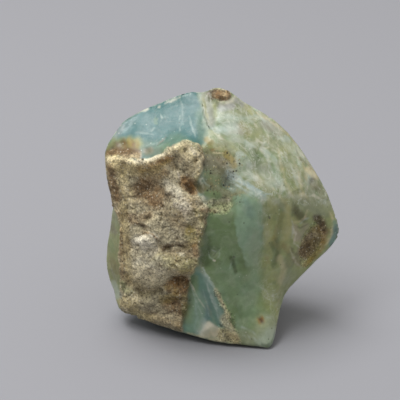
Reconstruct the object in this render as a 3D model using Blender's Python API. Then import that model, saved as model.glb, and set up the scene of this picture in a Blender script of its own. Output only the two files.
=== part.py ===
"""A rough piece of Andean blue opal with a crust of its host rock on one side.

The stone is one piece. It stands on a small flat spot, its crust and its largest
broken faces look towards -Y, X runs from its left to its right, and Z is up.
The origin is at the bottom, in the middle of its bounding box.
"""

import math

import bmesh
import bpy
import numpy as np
from mathutils import Vector, noise
from mathutils.bvhtree import BVHTree

NAME = "andean_blue_opal"
MM = 0.001

# The front was measured on a grid that looks at the stone from a little above.
GRID_STEP = 0.175 * MM
GRID_TILT = math.radians(25)
EYE_DISTANCE = 389 * MM
GRID_CENTRE = (200, 200)

# The stone is measured outwards from this point inside it.
MIDDLE = np.array((0.0, 0.0, 19.0)) * MM
MIDDLE_ON_GRID = (215, 225)

FINE_LEVEL = 7
TRIANGLES = 9400
CRUST_HEIGHT = 0.6 * MM

# Each point is a grid column, a grid row and a depth along Y in millimetres.
# The outline runs clockwise from the top of the blue face.
RIM = [
    (192, 92, 5.4), (202, 92.5, 5.5), (209, 90.5, 5.3), (214, 87.8, 5.2), (221, 88, 5.0),
    (229, 91, 5.2), (235, 95.5, 5.6), (243, 102, 6.0), (258, 110, 6.6), (274, 120, 7.0),
    (288, 133, 6.9), (300, 148, 6.4), (312, 166, 5.6), (321, 181, 4.8), (327.5, 194, 4.0),
    (332, 206, 3.4), (337, 220, 3.2), (339, 229, 3.3), (338.5, 236, 3.2), (334, 242.5, 2.4),
    (327, 251, 1.5), (319, 258, 0.9), (310, 267, 0.2), (300, 277, -0.6), (289, 288, -1.6),
    (284, 296, -2.6), (280, 309, -4.7), (277.5, 322, -7.0), (275, 336, -9.0),
    (272, 345, -10.2), (268, 348, -10.7), (260, 346.5, -10.5), (245, 345, -10.1),
    (228, 343.5, -9.7), (215, 341.5, -9.3), (200, 337.5, -8.7), (185, 333, -7.7),
    (165, 327, -6.2), (150, 322, -5.0), (138, 318.5, -3.8), (127, 314, -2.2), (119, 309, -0.8),
    (116, 300, 0.2), (114, 290, 0.9), (110, 280, 1.6), (107.5, 270, 2.0), (106.5, 260, 2.2),
    (107.5, 245, 2.2), (110, 230, 1.9), (111.5, 218, 1.4), (113, 207, 0.8), (111, 195, 0.2),
    (108, 186, -0.2), (106.5, 175, -0.4), (105, 163, -0.3), (105, 153, 0.4), (108, 144, 1.4),
    (115, 133, 2.4), (123, 122, 3.4), (130, 117, 4.2), (143, 110, 5.2), (155, 105, 5.9),
    (168, 99.5, 6.0), (181, 94.5, 5.7),
]

# The upper edge of the crust, which stands over the blue face.
LEDGE = [
    (112, 160, -1.6), (122, 159, -3.2), (135, 161, -4.7), (150, 160, -5.4), (163, 156, -5.8),
    (172, 149, -5.9), (183, 143, -6.0), (192, 145, -5.8), (200, 152, -5.4),
]

# The ridge between the blue face and the green side, from the top to the ledge.
BLUE_EDGE = [
    (192, 92, 5.4), (202, 104, 3.2), (205, 117, 0.8), (209, 129, -1.6), (211, 140, -3.6),
    (200, 152, -5.4),
]

# The low ridge where the crust meets the green side.
CRUST_EDGE = [
    (200, 152, -5.4), (203, 165, -6.7), (201, 181, -8.0), (204, 199, -9.1), (207, 214, -9.9),
    (204, 230, -10.3), (201, 250, -10.4), (203, 268, -10.1),
]

# The cream ridge down to the foot, beside the narrow blue strip.
CREAM_RIDGE = [
    (203, 268, -10.2), (210, 282, -10.2), (218, 296, -10.2), (226, 310, -10.15),
    (234, 325, -10.1), (245, 345, -10.1),
]

# The edge between the crust and the narrow olive side at the left.
LEFT_EDGE = [
    (114, 203, -0.5), (119, 215, -2.2), (122, 232, -3.0), (122, 250, -3.2), (122, 268, -3.2),
    (124, 284, -3.0), (128, 298, -2.7), (134, 312, -2.6),
]

# The faint ridge across the green side, out to the right tip.
GREEN_RIDGE = [
    (207, 214, -9.9), (230, 205, -8.9), (262, 199, -6.9), (288, 204, -4.1), (312, 214, -0.9),
    (326, 222, 1.2), (339, 229, 3.3),
]

# Loose points on the faces, each of which is rounded off.
FRONT_POINTS = [
    # the hollow of the blue face
    (125, 142, -0.6), (140, 132, -0.2), (150, 147, -2.9), (162, 120, 1.6), (172, 135, -1.9),
    (186, 112, 2.3), (190, 130, -1.6),
    # the upper green side
    (225, 125, -0.8), (228, 150, -4.2), (226, 178, -7.0), (250, 128, 1.3), (252, 155, -2.4),
    (254, 178, -5.2), (275, 142, 2.4), (280, 165, -0.6), (282, 185, -3.0), (303, 172, 1.5),
    (308, 194, -0.3), (320, 204, 1.5),
    # the lower green side and its hollow
    (222, 235, -9.7), (222, 262, -9.7), (232, 290, -9.3), (245, 315, -9.0), (258, 335, -9.6),
    (246, 230, -8.5), (246, 258, -8.3), (252, 288, -7.9), (262, 312, -8.2), (272, 232, -6.2),
    (272, 262, -5.6), (276, 285, -5.2), (298, 234, -2.7), (298, 256, -2.6), (316, 240, 0.2),
    # the blue strip
    (190, 290, -9.0), (199, 305, -8.9), (207, 322, -9.0),
    # the crust
    (125, 178, -2.9), (150, 178, -5.2), (175, 172, -6.9), (190, 182, -7.6), (128, 205, -3.6),
    (150, 205, -6.6), (178, 205, -8.6), (140, 232, -6.2), (160, 235, -8.2), (183, 235, -9.5),
    (140, 262, -5.7), (160, 265, -7.9), (184, 262, -9.6), (148, 290, -5.7), (170, 293, -7.4),
    (155, 312, -5.6), (180, 315, -7.6),
    # the olive side
    (113, 240, -0.6), (113, 270, -0.8), (118, 295, -1.0),
]

# Ridges of the hidden sides run through points given as X, Y and Z in millimetres.
# A whole number stands for that point of the outline.
BACK_TOP = (-3.0, 13.2, 27.5)
BACK_MIDDLE = (1.5, 14.3, 20.5)
BACK_LOW = (7.0, 12.6, 13.0)
BACK_RIDGES = [
    [3, (-0.6, 9.8, 36.5), BACK_TOP, BACK_MIDDLE, BACK_LOW, (8.6, 8.8, 5.2), (8.2, 3.6, -0.3)],
    [BACK_TOP, (-9.5, 12.0, 25.2), (-15.2, 7.0, 25.0), 52],
    [BACK_LOW, (13.2, 9.8, 13.4), (18.6, 6.4, 14.3), 17],
    [BACK_MIDDLE, (-5.0, 13.4, 14.2), (-11.0, 10.2, 9.4), (-14.6, 5.4, 5.0), 41],
]
BACK_POINTS = [
    (-9.5, 8.6, 34.5), (7.5, 9.2, 32.0), (13.5, 9.4, 25.0), (16.5, 8.6, 19.0),
    (-15.5, 7.6, 18.5), (-9.5, 11.4, 17.5), (-15.8, 6.4, 12.0), (0.5, 11.6, 8.6),
    (-6.5, 9.4, 5.0), (11.5, 5.8, 8.0), (14.2, 3.4, 9.6), (0.0, 8.0, 1.8),
]

# The flat spot is cut a little above these points.
FOOT_POINTS = [
    (-5.5, -3.6, -0.4), (-7.5, 0.5, -0.4), (-5.0, 4.6, -0.4), (1.0, 5.6, -0.4),
    (6.6, 3.4, -0.4), (8.2, -1.5, -0.4), (6.8, -5.4, -0.4), (1.0, -4.8, -0.4), (0.5, 0.0, -0.4),
]


# The crust's border on the grid, clockwise from the left end of the ledge.
CRUST = [
    (100, 160), (112, 158.5), (122, 157.5), (135, 160), (150, 159), (163, 155), (172, 148),
    (183, 142), (193, 144), (201, 151), (204, 160), (202, 172), (199, 184), (202, 196),
    (214, 199), (228, 199), (233, 204), (228, 211), (212, 216), (205, 228), (201, 244),
    (199, 262), (192, 276), (188, 290), (187, 304), (184, 320), (181, 345), (118, 345),
    (118, 318), (122, 303), (121, 285), (120, 260), (120, 225), (115, 207), (100, 200),
]

# The crust that was left on the hidden side, as X, Y, Z and a radius in millimetres.
HIDDEN_CRUST = [(-13.0, 9.0, 8.0, 6.5), (-17.0, 6.0, 17.0, 5.0), (-5.0, 12.0, 7.0, 5.0)]

# Lumps and hollows of the front: column, row, half width, half height, turn, rise in mm.
LUMPS = [
    # the knob at the end of the ledge, and the pits beside it
    (190, 161, 11, 16, 0, 0.9), (176, 166, 4, 7, 10, -0.8), (196, 160, 3, 3, 0, -0.4),
    # the recess under the ledge
    (152, 179, 22, 12, 0, -0.9), (127, 172, 8, 9, 0, -0.5), (115, 166, 6, 4, 0, 0.4),
    # the hole beside the green side, and the boss below it
    (192, 189, 6, 6, 0, -1.1), (181, 209, 13, 15, 0, 0.6), (160, 208, 8, 9, 0, -0.4),
    (222, 205, 11, 8, 0, -0.7),
    # the boss with the pit beside it
    (149, 238, 10, 6, 0, 0.9), (168, 249, 4, 4, 0, -0.9), (183, 238, 9, 12, 0, 0.3),
    # the pale swelling
    (152, 262, 19, 15, 0, 0.6), (130, 250, 5, 20, 0, -0.3),
    # the overhang and the hollow below it
    (181, 263, 11, 7, 0, 0.8), (181, 280, 11, 6, 0, -1.2), (178, 306, 9, 8, 0, -0.4),
    (146, 301, 13, 6, 0, 0.6), (152, 289, 14, 4, 5, -0.5), (128, 305, 7, 8, 0, 0.4),
    # the knob on top
    (220, 97, 12, 7, 0, 0.6), (211, 99, 3, 4, 0, -0.5),
    # chips, flutes and the stained hollow of the green side
    (229, 183, 8, 8, 0, -0.6), (247, 228, 12, 30, 0, 0.4), (266, 228, 6, 26, 5, -0.2),
    (214, 253, 8, 9, 0, -0.35), (222, 240, 7, 12, 0, -0.15), (250, 160, 16, 8, 30, 0.25),
    (285, 160, 14, 7, 45, 0.2), (262, 172, 14, 6, 20, -0.2), (313, 243, 12, 22, 25, -0.5),
    (297, 229, 6, 16, 15, 0.2), (259, 303, 12, 22, 10, -0.4), (264, 328, 10, 8, 0, 0.2),
    # chips of the blue face
    (160, 128, 26, 10, -20, -0.25), (128, 126, 8, 6, -30, -0.3), (196, 122, 6, 12, 10, 0.2),
]

# Cracks and sharp steps: a half width and a depth in mm, then columns and rows.
CRACKS = [
    (0.5, 0.7, [(137, 241), (144, 247), (154, 249), (163, 245)]),
    (0.5, 0.6, [(162, 299), (174, 301), (187, 300)]),
    (0.5, 0.5, [(150, 313), (164, 311), (178, 313)]),
    (0.6, 0.6, [(130, 186), (144, 190), (160, 189), (172, 183)]),
    (0.5, 0.5, [(124, 215), (124, 240), (125, 262), (127, 285)]),
    (0.5, 0.4, [(176, 224), (186, 227), (196, 221)]),
]


def to_grid(points):
    """The grid columns and rows at which the points are seen."""
    offset = points - MIDDLE
    near = offset[:, 2] * math.sin(GRID_TILT) - offset[:, 1] * math.cos(GRID_TILT)
    up = offset[:, 2] * math.cos(GRID_TILT) + offset[:, 1] * math.sin(GRID_TILT)
    scale = EYE_DISTANCE / (EYE_DISTANCE - near) / GRID_STEP
    off_x = (MIDDLE_ON_GRID[0] - GRID_CENTRE[0]) * GRID_STEP
    off_y = (GRID_CENTRE[1] - MIDDLE_ON_GRID[1]) * GRID_STEP
    places = [GRID_CENTRE[0] + (offset[:, 0] + off_x) * scale, GRID_CENTRE[1] - (up + off_y) * scale]
    return np.stack(places, axis=1)


def from_grid(column, row, depth):
    """The point at this depth along Y that is seen at this place on the grid."""
    depth = depth * MM
    off_x = (MIDDLE_ON_GRID[0] - GRID_CENTRE[0]) * GRID_STEP
    off_y = (GRID_CENTRE[1] - MIDDLE_ON_GRID[1]) * GRID_STEP
    near = 0.0
    for _ in range(6):
        scale = (EYE_DISTANCE - near) / EYE_DISTANCE
        across = (column - GRID_CENTRE[0]) * GRID_STEP * scale - off_x
        up = (GRID_CENTRE[1] - row) * GRID_STEP * scale - off_y
        height = (up - depth * math.sin(GRID_TILT)) / math.cos(GRID_TILT)
        near = height * math.sin(GRID_TILT) - depth * math.cos(GRID_TILT)
    return np.array((across, depth, height)) + (0.0, 0.0, MIDDLE[2])


def behind(ridge):
    """The points of a ridge of the hidden sides."""
    ends = [from_grid(*RIM[p]) if isinstance(p, int) else np.array(p) * MM for p in ridge]
    return np.array(ends)


def net():
    """The stone's corner points and the triangles between them."""
    front = RIM + LEDGE + BLUE_EDGE + CRUST_EDGE + CREAM_RIDGE + LEFT_EDGE + GREEN_RIDGE
    points = [from_grid(*point) for point in front + FRONT_POINTS]
    points += [np.array(point) * MM for point in BACK_POINTS + FOOT_POINTS]
    points = np.concatenate([points] + [behind(ridge) for ridge in BACK_RIDGES])
    apart = np.linalg.norm(points[:, None] - points, axis=2) + np.eye(len(points))
    points = points[[not (apart[index, :index] < 0.6 * MM).any() for index in range(len(points))]]
    # Seen from the middle, the corners are joined as their nearest neighbours are.
    bm = bmesh.new()
    for point in points:
        bm.verts.new(Vector(point - MIDDLE).normalized())
    bmesh.ops.convex_hull(bm, input=bm.verts)
    bm.verts.index_update()
    faces = [[vert.index for vert in face.verts] for face in bm.faces]
    bm.free()
    return points, faces


def reaches(directions):
    """How far the net lies from the middle in each direction."""
    points, faces = net()
    tree = BVHTree.FromPolygons([Vector(point - MIDDLE) for point in points], faces)
    return np.array([tree.ray_cast(Vector(), Vector(way))[3] for way in directions])


def nearest_on_lines(points, lines):
    """The distance from each point to the nearest of some lines, and the place there."""
    best = np.full(len(points), np.inf)
    place = points.copy()
    for line in lines:
        for start, end in zip(line[:-1], line[1:]):
            along = end - start
            share = np.clip((points - start) @ along / (along @ along), 0.0, 1.0)
            spot = start + share[:, None] * along
            gap = np.linalg.norm(points - spot, axis=1)
            closer = gap < best
            best[closer] = gap[closer]
            place[closer] = spot[closer]
    return best, place


def smooth_step(low, high, value):
    share = np.clip((value - low) / (high - low), 0.0, 1.0)
    return share * share * (3.0 - 2.0 * share)


def inside_border(places, border):
    """How far each place lies inside a closed border, less than zero outside it."""
    border = np.array(border, float)
    closed = np.concatenate([border, border[:1]])
    gap, _ = nearest_on_lines(places, [closed])
    inside = np.zeros(len(places), bool)
    for (x0, y0), (x1, y1) in zip(closed[:-1], closed[1:]):
        if y0 == y1:
            continue
        crosses = (places[:, 1] < y0) != (places[:, 1] < y1)
        inside ^= crosses & (places[:, 0] < x0 + (places[:, 1] - y0) * (x1 - x0) / (y1 - y0))
    return np.where(inside, gap, -gap)


def fractal(points, size, octaves, seed):
    """Smooth noise between about -1 and 1, with features of the given size."""
    shift = Vector((seed * 13.7, seed * 7.3, seed * 3.1))
    return np.array([noise.fractal(Vector(p / size) + shift, 1.0, 2.1, octaves) for p in points])


bm = bmesh.new()
bmesh.ops.create_icosphere(bm, subdivisions=FINE_LEVEL, radius=1.0)
bm.verts.ensure_lookup_table()
directions = np.array([vert.co for vert in bm.verts])
directions /= np.linalg.norm(directions, axis=1)[:, None]
edges = np.array([[vert.index for vert in edge.verts] for edge in bm.edges])
triangles = np.array([[vert.index for vert in face.verts] for face in bm.faces])
ties = np.bincount(edges.ravel(), minlength=len(directions))


def of_neighbours(values):
    """The mean over each vertex's neighbours."""
    total = np.bincount(edges[:, 0], values[edges[:, 1]], len(values))
    total += np.bincount(edges[:, 1], values[edges[:, 0]], len(values))
    return total / ties


def normals_of(points):
    """The outward direction of the surface at each vertex."""
    sides = points[triangles]
    turn = np.cross(sides[:, 1] - sides[:, 0], sides[:, 2] - sides[:, 0])
    total = np.zeros_like(points)
    for corner in range(3):
        for axis in range(3):
            total[:, axis] += np.bincount(triangles[:, corner], turn[:, axis], len(points))
    return total / np.linalg.norm(total, axis=1)[:, None]


# Turn the vertices beside a ridge to the ridge itself, then pull the sphere out to the net.
front_lines = [RIM + RIM[:1], LEDGE, BLUE_EDGE, CRUST_EDGE, CREAM_RIDGE, LEFT_EDGE]
lines = [np.array([from_grid(*point) for point in line]) for line in front_lines]
lines += [behind(ridge) for ridge in BACK_RIDGES]
rays = [line - MIDDLE for line in lines]
rays = [line / np.linalg.norm(line, axis=1)[:, None] for line in rays]
gap, place = nearest_on_lines(directions, rays)
spacing = np.linalg.norm(directions[edges[:, 0]] - directions[edges[:, 1]], axis=1).mean()
beside = gap < 0.5 * spacing
directions[beside] = place[beside]
directions /= np.linalg.norm(directions, axis=1)[:, None]
surface = MIDDLE + directions * reaches(directions)[:, None]

# Round the faces between the ridges.
gap, _ = nearest_on_lines(surface, lines)
gap[beside] = 0.0
reach = np.linalg.norm(surface - MIDDLE, axis=1)
turn = sum(directions[:, axis] * of_neighbours(directions[:, axis]) for axis in range(3))
freedom = smooth_step(0.2 * MM, 2.5 * MM, gap)
inverse = 1.0 / reach
for _ in range(40):
    inverse += freedom * (of_neighbours(inverse) / turn - inverse)
surface = MIDDLE + directions / inverse[:, None]

# Say where each vertex is: on the grid, on the front, near the rim, on the crust.
places = to_grid(surface)
normals = normals_of(surface)
towards = np.array((0.0, -math.cos(GRID_TILT), math.sin(GRID_TILT)))
front = smooth_step(-0.1, 0.15, normals @ towards)
from_rim, _ = nearest_on_lines(surface, lines[:1])
off_rim = smooth_step(0.0, 1.6 * MM, from_rim)
crust = smooth_step(-1.5, 2.5, inside_border(places, CRUST)) * front
for x, y, z, radius in HIDDEN_CRUST:
    distance = np.linalg.norm(surface - np.array((x, y, z)) * MM, axis=1)
    wander = radius * MM * (1.0 + 0.25 * fractal(surface, 4 * MM, 3, 5))
    crust = np.maximum(crust, smooth_step(0.0, 1.2 * MM, wander - distance) * (1.0 - front))

# Raise the crust, its lumps and its rough grain, and sink the cracks.
rise = crust * CRUST_HEIGHT * off_rim
for column, row, wide, high, turned, lift in LUMPS:
    angle = math.radians(turned)
    across = places - (column, row)
    along = across[:, 0] * math.cos(angle) + across[:, 1] * math.sin(angle)
    beyond = across[:, 1] * math.cos(angle) - across[:, 0] * math.sin(angle)
    swell = np.exp(-((along / wide) ** 2 + (beyond / high) ** 2))
    rise += lift * MM * swell * front * off_rim
for wide, deep, line in CRACKS:
    away, _ = nearest_on_lines(places, [np.array(line, float)])
    rise -= deep * MM * np.exp(-((away * GRID_STEP / (wide * MM)) ** 2)) * front * off_rim
rough = 0.45 * fractal(surface, 3.0 * MM, 3, 1) + 0.2 * fractal(surface, 1.2 * MM, 2, 2)
even = 0.10 * fractal(surface, 7.0 * MM, 2, 3) + 0.05 * fractal(surface, 2.5 * MM, 2, 4)
back = 0.30 * fractal(surface, 8.0 * MM, 3, 6)
rise += MM * (crust * rough + (1.0 - crust) * (even + (1.0 - front) * back)) * (0.25 + 0.75 * off_rim)
surface = surface + normals * rise[:, None]
for vert, point in zip(bm.verts, surface):
    vert.co = point

for old in list(bpy.data.objects):
    bpy.data.objects.remove(old)
collection = bpy.data.collections.new("Andean blue opal")
bpy.context.scene.collection.children.link(collection)

# Thin the fine sphere out to the wanted number of triangles.
mesh = bpy.data.meshes.new(NAME)
bm.to_mesh(mesh)
bm.free()
stone = bpy.data.objects.new(NAME, mesh)
collection.objects.link(stone)
thin = stone.modifiers.new("Thin out", "DECIMATE")
thin.ratio = TRIANGLES / len(mesh.polygons)
graph = bpy.context.evaluated_depsgraph_get()
thinned = bpy.data.meshes.new_from_object(stone.evaluated_get(graph))
stone.modifiers.clear()

# Cut the flat spot that the stone rests on, and set the stone over the origin.
bm = bmesh.new()
bm.from_mesh(thinned)
cut = bmesh.ops.bisect_plane(
    bm, geom=bm.verts[:] + bm.edges[:] + bm.faces[:], plane_co=(0, 0, 0), plane_no=(0, 0, -1),
    clear_outer=True,
)
rim_edges = [edge for edge in bm.edges if edge.is_boundary]
bmesh.ops.edgeloop_fill(bm, edges=rim_edges)
bmesh.ops.remove_doubles(bm, verts=bm.verts, dist=0.02 * MM)
bmesh.ops.triangulate(bm, faces=bm.faces)
bmesh.ops.recalc_face_normals(bm, faces=bm.faces)
corners = np.array([vert.co for vert in bm.verts])
lowest, highest = corners.min(axis=0), corners.max(axis=0)
shift = Vector((-(lowest[0] + highest[0]) / 2, -(lowest[1] + highest[1]) / 2, -lowest[2]))
bmesh.ops.translate(bm, verts=bm.verts, vec=shift)
bm.to_mesh(mesh)
bm.free()
mesh.shade_smooth()
mesh.set_sharp_from_angle(angle=math.radians(35))

# Blue-green opal; the crust is the paler, sandier stone on the same piece.
opal = bpy.data.materials.new("opal")
opal.use_nodes = True
shader = opal.node_tree.nodes["Principled BSDF"]
shader.inputs["Base Color"].default_value = (0.27, 0.37, 0.29, 1.0)
shader.inputs["Roughness"].default_value = 0.42
shader.inputs["Metallic"].default_value = 0.0
mesh.materials.clear()
mesh.materials.append(opal)
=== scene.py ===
"""A rough piece of Andean blue opal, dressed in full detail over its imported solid.

The stone is one piece: milky blue and green opal with a crust of sandy host rock.
All sizes are in metres, with Z up, and the crust and the large faces look towards -Y.
"""

import math

import bmesh
import bpy
import numpy as np
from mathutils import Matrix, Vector, noise
from mathutils.bvhtree import BVHTree


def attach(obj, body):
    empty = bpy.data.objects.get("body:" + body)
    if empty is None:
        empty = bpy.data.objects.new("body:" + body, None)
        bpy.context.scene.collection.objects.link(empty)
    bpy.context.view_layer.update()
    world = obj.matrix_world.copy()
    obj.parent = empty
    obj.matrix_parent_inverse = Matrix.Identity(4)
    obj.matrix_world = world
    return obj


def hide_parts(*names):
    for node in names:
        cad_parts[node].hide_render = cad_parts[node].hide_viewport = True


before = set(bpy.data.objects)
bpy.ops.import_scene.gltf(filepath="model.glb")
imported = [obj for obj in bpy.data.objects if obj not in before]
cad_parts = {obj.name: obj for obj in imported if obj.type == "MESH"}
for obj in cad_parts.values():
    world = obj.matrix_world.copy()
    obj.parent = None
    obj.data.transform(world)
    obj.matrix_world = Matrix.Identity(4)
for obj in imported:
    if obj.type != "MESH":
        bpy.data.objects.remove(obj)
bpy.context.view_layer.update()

# The stone is one natural piece of common opal, broken from its seam with host rock still on it.
# Its faces are curved breaks between sharp ridges, and the crust stands a little proud of them.
# Nothing holds it: it stands by its own weight on a small flat spot.

MM = 0.001

# The front was measured on a grid that looks at the stone from a little above.
GRID_STEP = 0.175 * MM
GRID_TILT = math.radians(25)
EYE_DISTANCE = 389 * MM
GRID_CENTRE = (200, 200)

# The stone is measured outwards from this point inside it, and then moved over its bottom centre.
MIDDLE = np.array((0.0, 0.0, 19.0)) * MM
MIDDLE_ON_GRID = (215, 225)
MIDDLE_ACROSS = (MIDDLE_ON_GRID[0] - GRID_CENTRE[0]) * GRID_STEP
MIDDLE_UP = (GRID_CENTRE[1] - MIDDLE_ON_GRID[1]) * GRID_STEP
OVER_ORIGIN = np.array((-1.356, -1.670, 0.0)) * MM

# How far the crust stands proud of the opal.
CRUST_HEIGHT = 0.6 * MM

# Each point is a grid column, a grid row and a depth along Y in millimetres.
# The outline runs clockwise from the top of the blue face.
RIM = [
    (192, 92, 5.4), (202, 92.5, 5.5), (209, 90.5, 5.3), (214, 87.8, 5.2), (221, 88, 5.0),
    (229, 91, 5.2), (235, 95.5, 5.6), (243, 102, 6.0), (258, 110, 6.6), (274, 120, 7.0),
    (288, 133, 6.9), (300, 148, 6.4), (312, 166, 5.6), (321, 181, 4.8), (327.5, 194, 4.0),
    (332, 206, 3.4), (337, 220, 3.2), (339, 229, 3.3), (338.5, 236, 3.2), (334, 242.5, 2.4),
    (327, 251, 1.5), (319, 258, 0.9), (310, 267, 0.2), (300, 277, -0.6), (289, 288, -1.6),
    (284, 296, -2.6), (280, 309, -4.7), (277.5, 322, -7.0), (275, 336, -9.0),
    (272, 345, -10.2), (268, 348, -10.7), (260, 346.5, -10.5), (245, 345, -10.1),
    (228, 343.5, -9.7), (215, 341.5, -9.3), (200, 337.5, -8.7), (185, 333, -7.7),
    (165, 327, -6.2), (150, 322, -5.0), (138, 318.5, -3.8), (127, 314, -2.2), (119, 309, -0.8),
    (116, 300, 0.2), (114, 290, 0.9), (110, 280, 1.6), (107.5, 270, 2.0), (106.5, 260, 2.2),
    (107.5, 245, 2.2), (110, 230, 1.9), (111.5, 218, 1.4), (113, 207, 0.8), (111, 195, 0.2),
    (108, 186, -0.2), (106.5, 175, -0.4), (105, 163, -0.3), (105, 153, 0.4), (108, 144, 1.4),
    (115, 133, 2.4), (123, 122, 3.4), (130, 117, 4.2), (143, 110, 5.2), (155, 105, 5.9),
    (168, 99.5, 6.0), (181, 94.5, 5.7),
]

# The upper edge of the crust, which stands over the blue face.
LEDGE = [
    (112, 160, -1.6), (122, 159, -3.2), (135, 161, -4.7), (150, 160, -5.4), (163, 156, -5.8),
    (172, 149, -5.9), (183, 143, -6.0), (192, 145, -5.8), (200, 152, -5.4),
]

# The ridge between the blue face and the green side, from the top to the ledge.
BLUE_EDGE = [
    (192, 92, 5.4), (202, 104, 3.2), (205, 117, 0.8), (209, 129, -1.6), (211, 140, -3.6),
    (200, 152, -5.4),
]

# The low ridge where the crust meets the green side.
CRUST_EDGE = [
    (200, 152, -5.4), (203, 165, -6.7), (201, 181, -8.0), (204, 199, -9.1), (207, 214, -9.9),
    (204, 230, -10.3), (201, 250, -10.4), (203, 268, -10.1),
]

# The cream ridge down to the foot, beside the narrow blue strip.
CREAM_RIDGE = [
    (203, 268, -10.2), (210, 282, -10.2), (218, 296, -10.2), (226, 310, -10.15),
    (234, 325, -10.1), (245, 345, -10.1),
]

# The edge between the crust and the narrow olive side at the left.
LEFT_EDGE = [
    (114, 203, -0.5), (119, 215, -2.2), (122, 232, -3.0), (122, 250, -3.2), (122, 268, -3.2),
    (124, 284, -3.0), (128, 298, -2.7), (134, 312, -2.6),
]

# The faint ridge across the green side, out to the right tip.
GREEN_RIDGE = [
    (207, 214, -9.9), (230, 205, -8.9), (262, 199, -6.9), (288, 204, -4.1), (312, 214, -0.9),
    (326, 222, 1.2), (339, 229, 3.3),
]

# Loose points on the faces, each of which is rounded off.
FRONT_POINTS = [
    # the hollow of the blue face
    (125, 142, -0.6), (140, 132, -0.2), (150, 147, -2.9), (162, 120, 1.6), (172, 135, -1.9),
    (186, 112, 2.3), (190, 130, -1.6),
    # the upper green side
    (225, 125, -0.8), (228, 150, -4.2), (226, 178, -7.0), (250, 128, 1.3), (252, 155, -2.4),
    (254, 178, -5.2), (275, 142, 2.4), (280, 165, -0.6), (282, 185, -3.0), (303, 172, 1.5),
    (308, 194, -0.3), (320, 204, 1.5),
    # the lower green side and its hollow
    (222, 235, -9.7), (222, 262, -9.7), (232, 290, -9.3), (245, 315, -9.0), (258, 335, -9.6),
    (246, 230, -8.5), (246, 258, -8.3), (252, 288, -7.9), (262, 312, -8.2), (272, 232, -6.2),
    (272, 262, -5.6), (276, 285, -5.2), (298, 234, -2.7), (298, 256, -2.6), (316, 240, 0.2),
    # the blue strip
    (190, 290, -9.0), (199, 305, -8.9), (207, 322, -9.0),
    # the crust
    (125, 178, -2.9), (150, 178, -5.2), (175, 172, -6.9), (190, 182, -7.6), (128, 205, -3.6),
    (150, 205, -6.6), (178, 205, -8.6), (140, 232, -6.2), (160, 235, -8.2), (183, 235, -9.5),
    (140, 262, -5.7), (160, 265, -7.9), (184, 262, -9.6), (148, 290, -5.7), (170, 293, -7.4),
    (155, 312, -5.6), (180, 315, -7.6),
    # the olive side
    (113, 240, -0.6), (113, 270, -0.8), (118, 295, -1.0),
]

# Ridges of the hidden sides run through points given as X, Y and Z in millimetres.
# A whole number stands for that point of the outline.
BACK_TOP = (-3.0, 13.2, 27.5)
BACK_MIDDLE = (1.5, 14.3, 20.5)
BACK_LOW = (7.0, 12.6, 13.0)
BACK_RIDGES = [
    [3, (-0.6, 9.8, 36.5), BACK_TOP, BACK_MIDDLE, BACK_LOW, (8.6, 8.8, 5.2), (8.2, 3.6, -0.3)],
    [BACK_TOP, (-9.5, 12.0, 25.2), (-15.2, 7.0, 25.0), 52],
    [BACK_LOW, (13.2, 9.8, 13.4), (18.6, 6.4, 14.3), 17],
    [BACK_MIDDLE, (-5.0, 13.4, 14.2), (-11.0, 10.2, 9.4), (-14.6, 5.4, 5.0), 41],
]
BACK_POINTS = [
    (-9.5, 8.6, 34.5), (7.5, 9.2, 32.0), (13.5, 9.4, 25.0), (16.5, 8.6, 19.0),
    (-15.5, 7.6, 18.5), (-9.5, 11.4, 17.5), (-15.8, 6.4, 12.0), (0.5, 11.6, 8.6),
    (-6.5, 9.4, 5.0), (11.5, 5.8, 8.0), (14.2, 3.4, 9.6), (0.0, 8.0, 1.8),
]
FOOT_POINTS = [
    (-5.5, -3.6, -0.4), (-7.5, 0.5, -0.4), (-5.0, 4.6, -0.4), (1.0, 5.6, -0.4),
    (6.6, 3.4, -0.4), (8.2, -1.5, -0.4), (6.8, -5.4, -0.4), (1.0, -4.8, -0.4), (0.5, 0.0, -0.4),
]

# The crust's border on the grid, clockwise from the left end of the ledge.
CRUST = [
    (100, 160), (112, 158.5), (122, 157.5), (135, 160), (150, 159), (163, 155), (172, 148),
    (183, 142), (193, 144), (200, 151), (203, 160), (202, 172), (198, 180), (196, 190), (202, 200),
    (208, 207), (208, 216), (204, 230), (201, 244), (199, 262), (192, 276), (188, 290), (187, 304),
    (184, 320), (181, 345), (118, 345), (118, 318), (122, 303), (121, 285), (120, 260), (120, 225),
    (115, 207), (100, 200),
]

# Thin films of the same rock that don't stand proud: on the shelf, below the knob, on top, at the
# foot of the cream ridge, and in the brown hollow.
FILMS = [
    [(103, 160), (105, 152), (118, 149), (138, 151), (140, 158), (128, 163), (112, 162)],
    [(200, 196), (208, 201), (222, 197), (231, 197), (233, 205), (229, 212), (214, 214),
     (202, 222)],
    [(212, 89), (221, 86), (229, 89), (231, 95), (226, 101), (217, 102), (211, 97)],
    [(213, 288), (219, 293), (232, 314), (241, 338), (243, 346), (216, 344), (219, 322), (224, 312),
     (215, 296)],
    [(301, 264), (300, 252), (301, 246), (306, 235), (312, 225), (317, 217), (325, 216), (328, 226),
     (326, 240), (319, 254), (311, 266), (305, 269)],
]

# The crust that was left on the hidden side, as X, Y, Z and a radius in millimetres.
HIDDEN_CRUST = [(-13.0, 9.0, 8.0, 6.5), (-17.0, 6.0, 17.0, 5.0), (-5.0, 12.0, 7.0, 5.0)]

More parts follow.
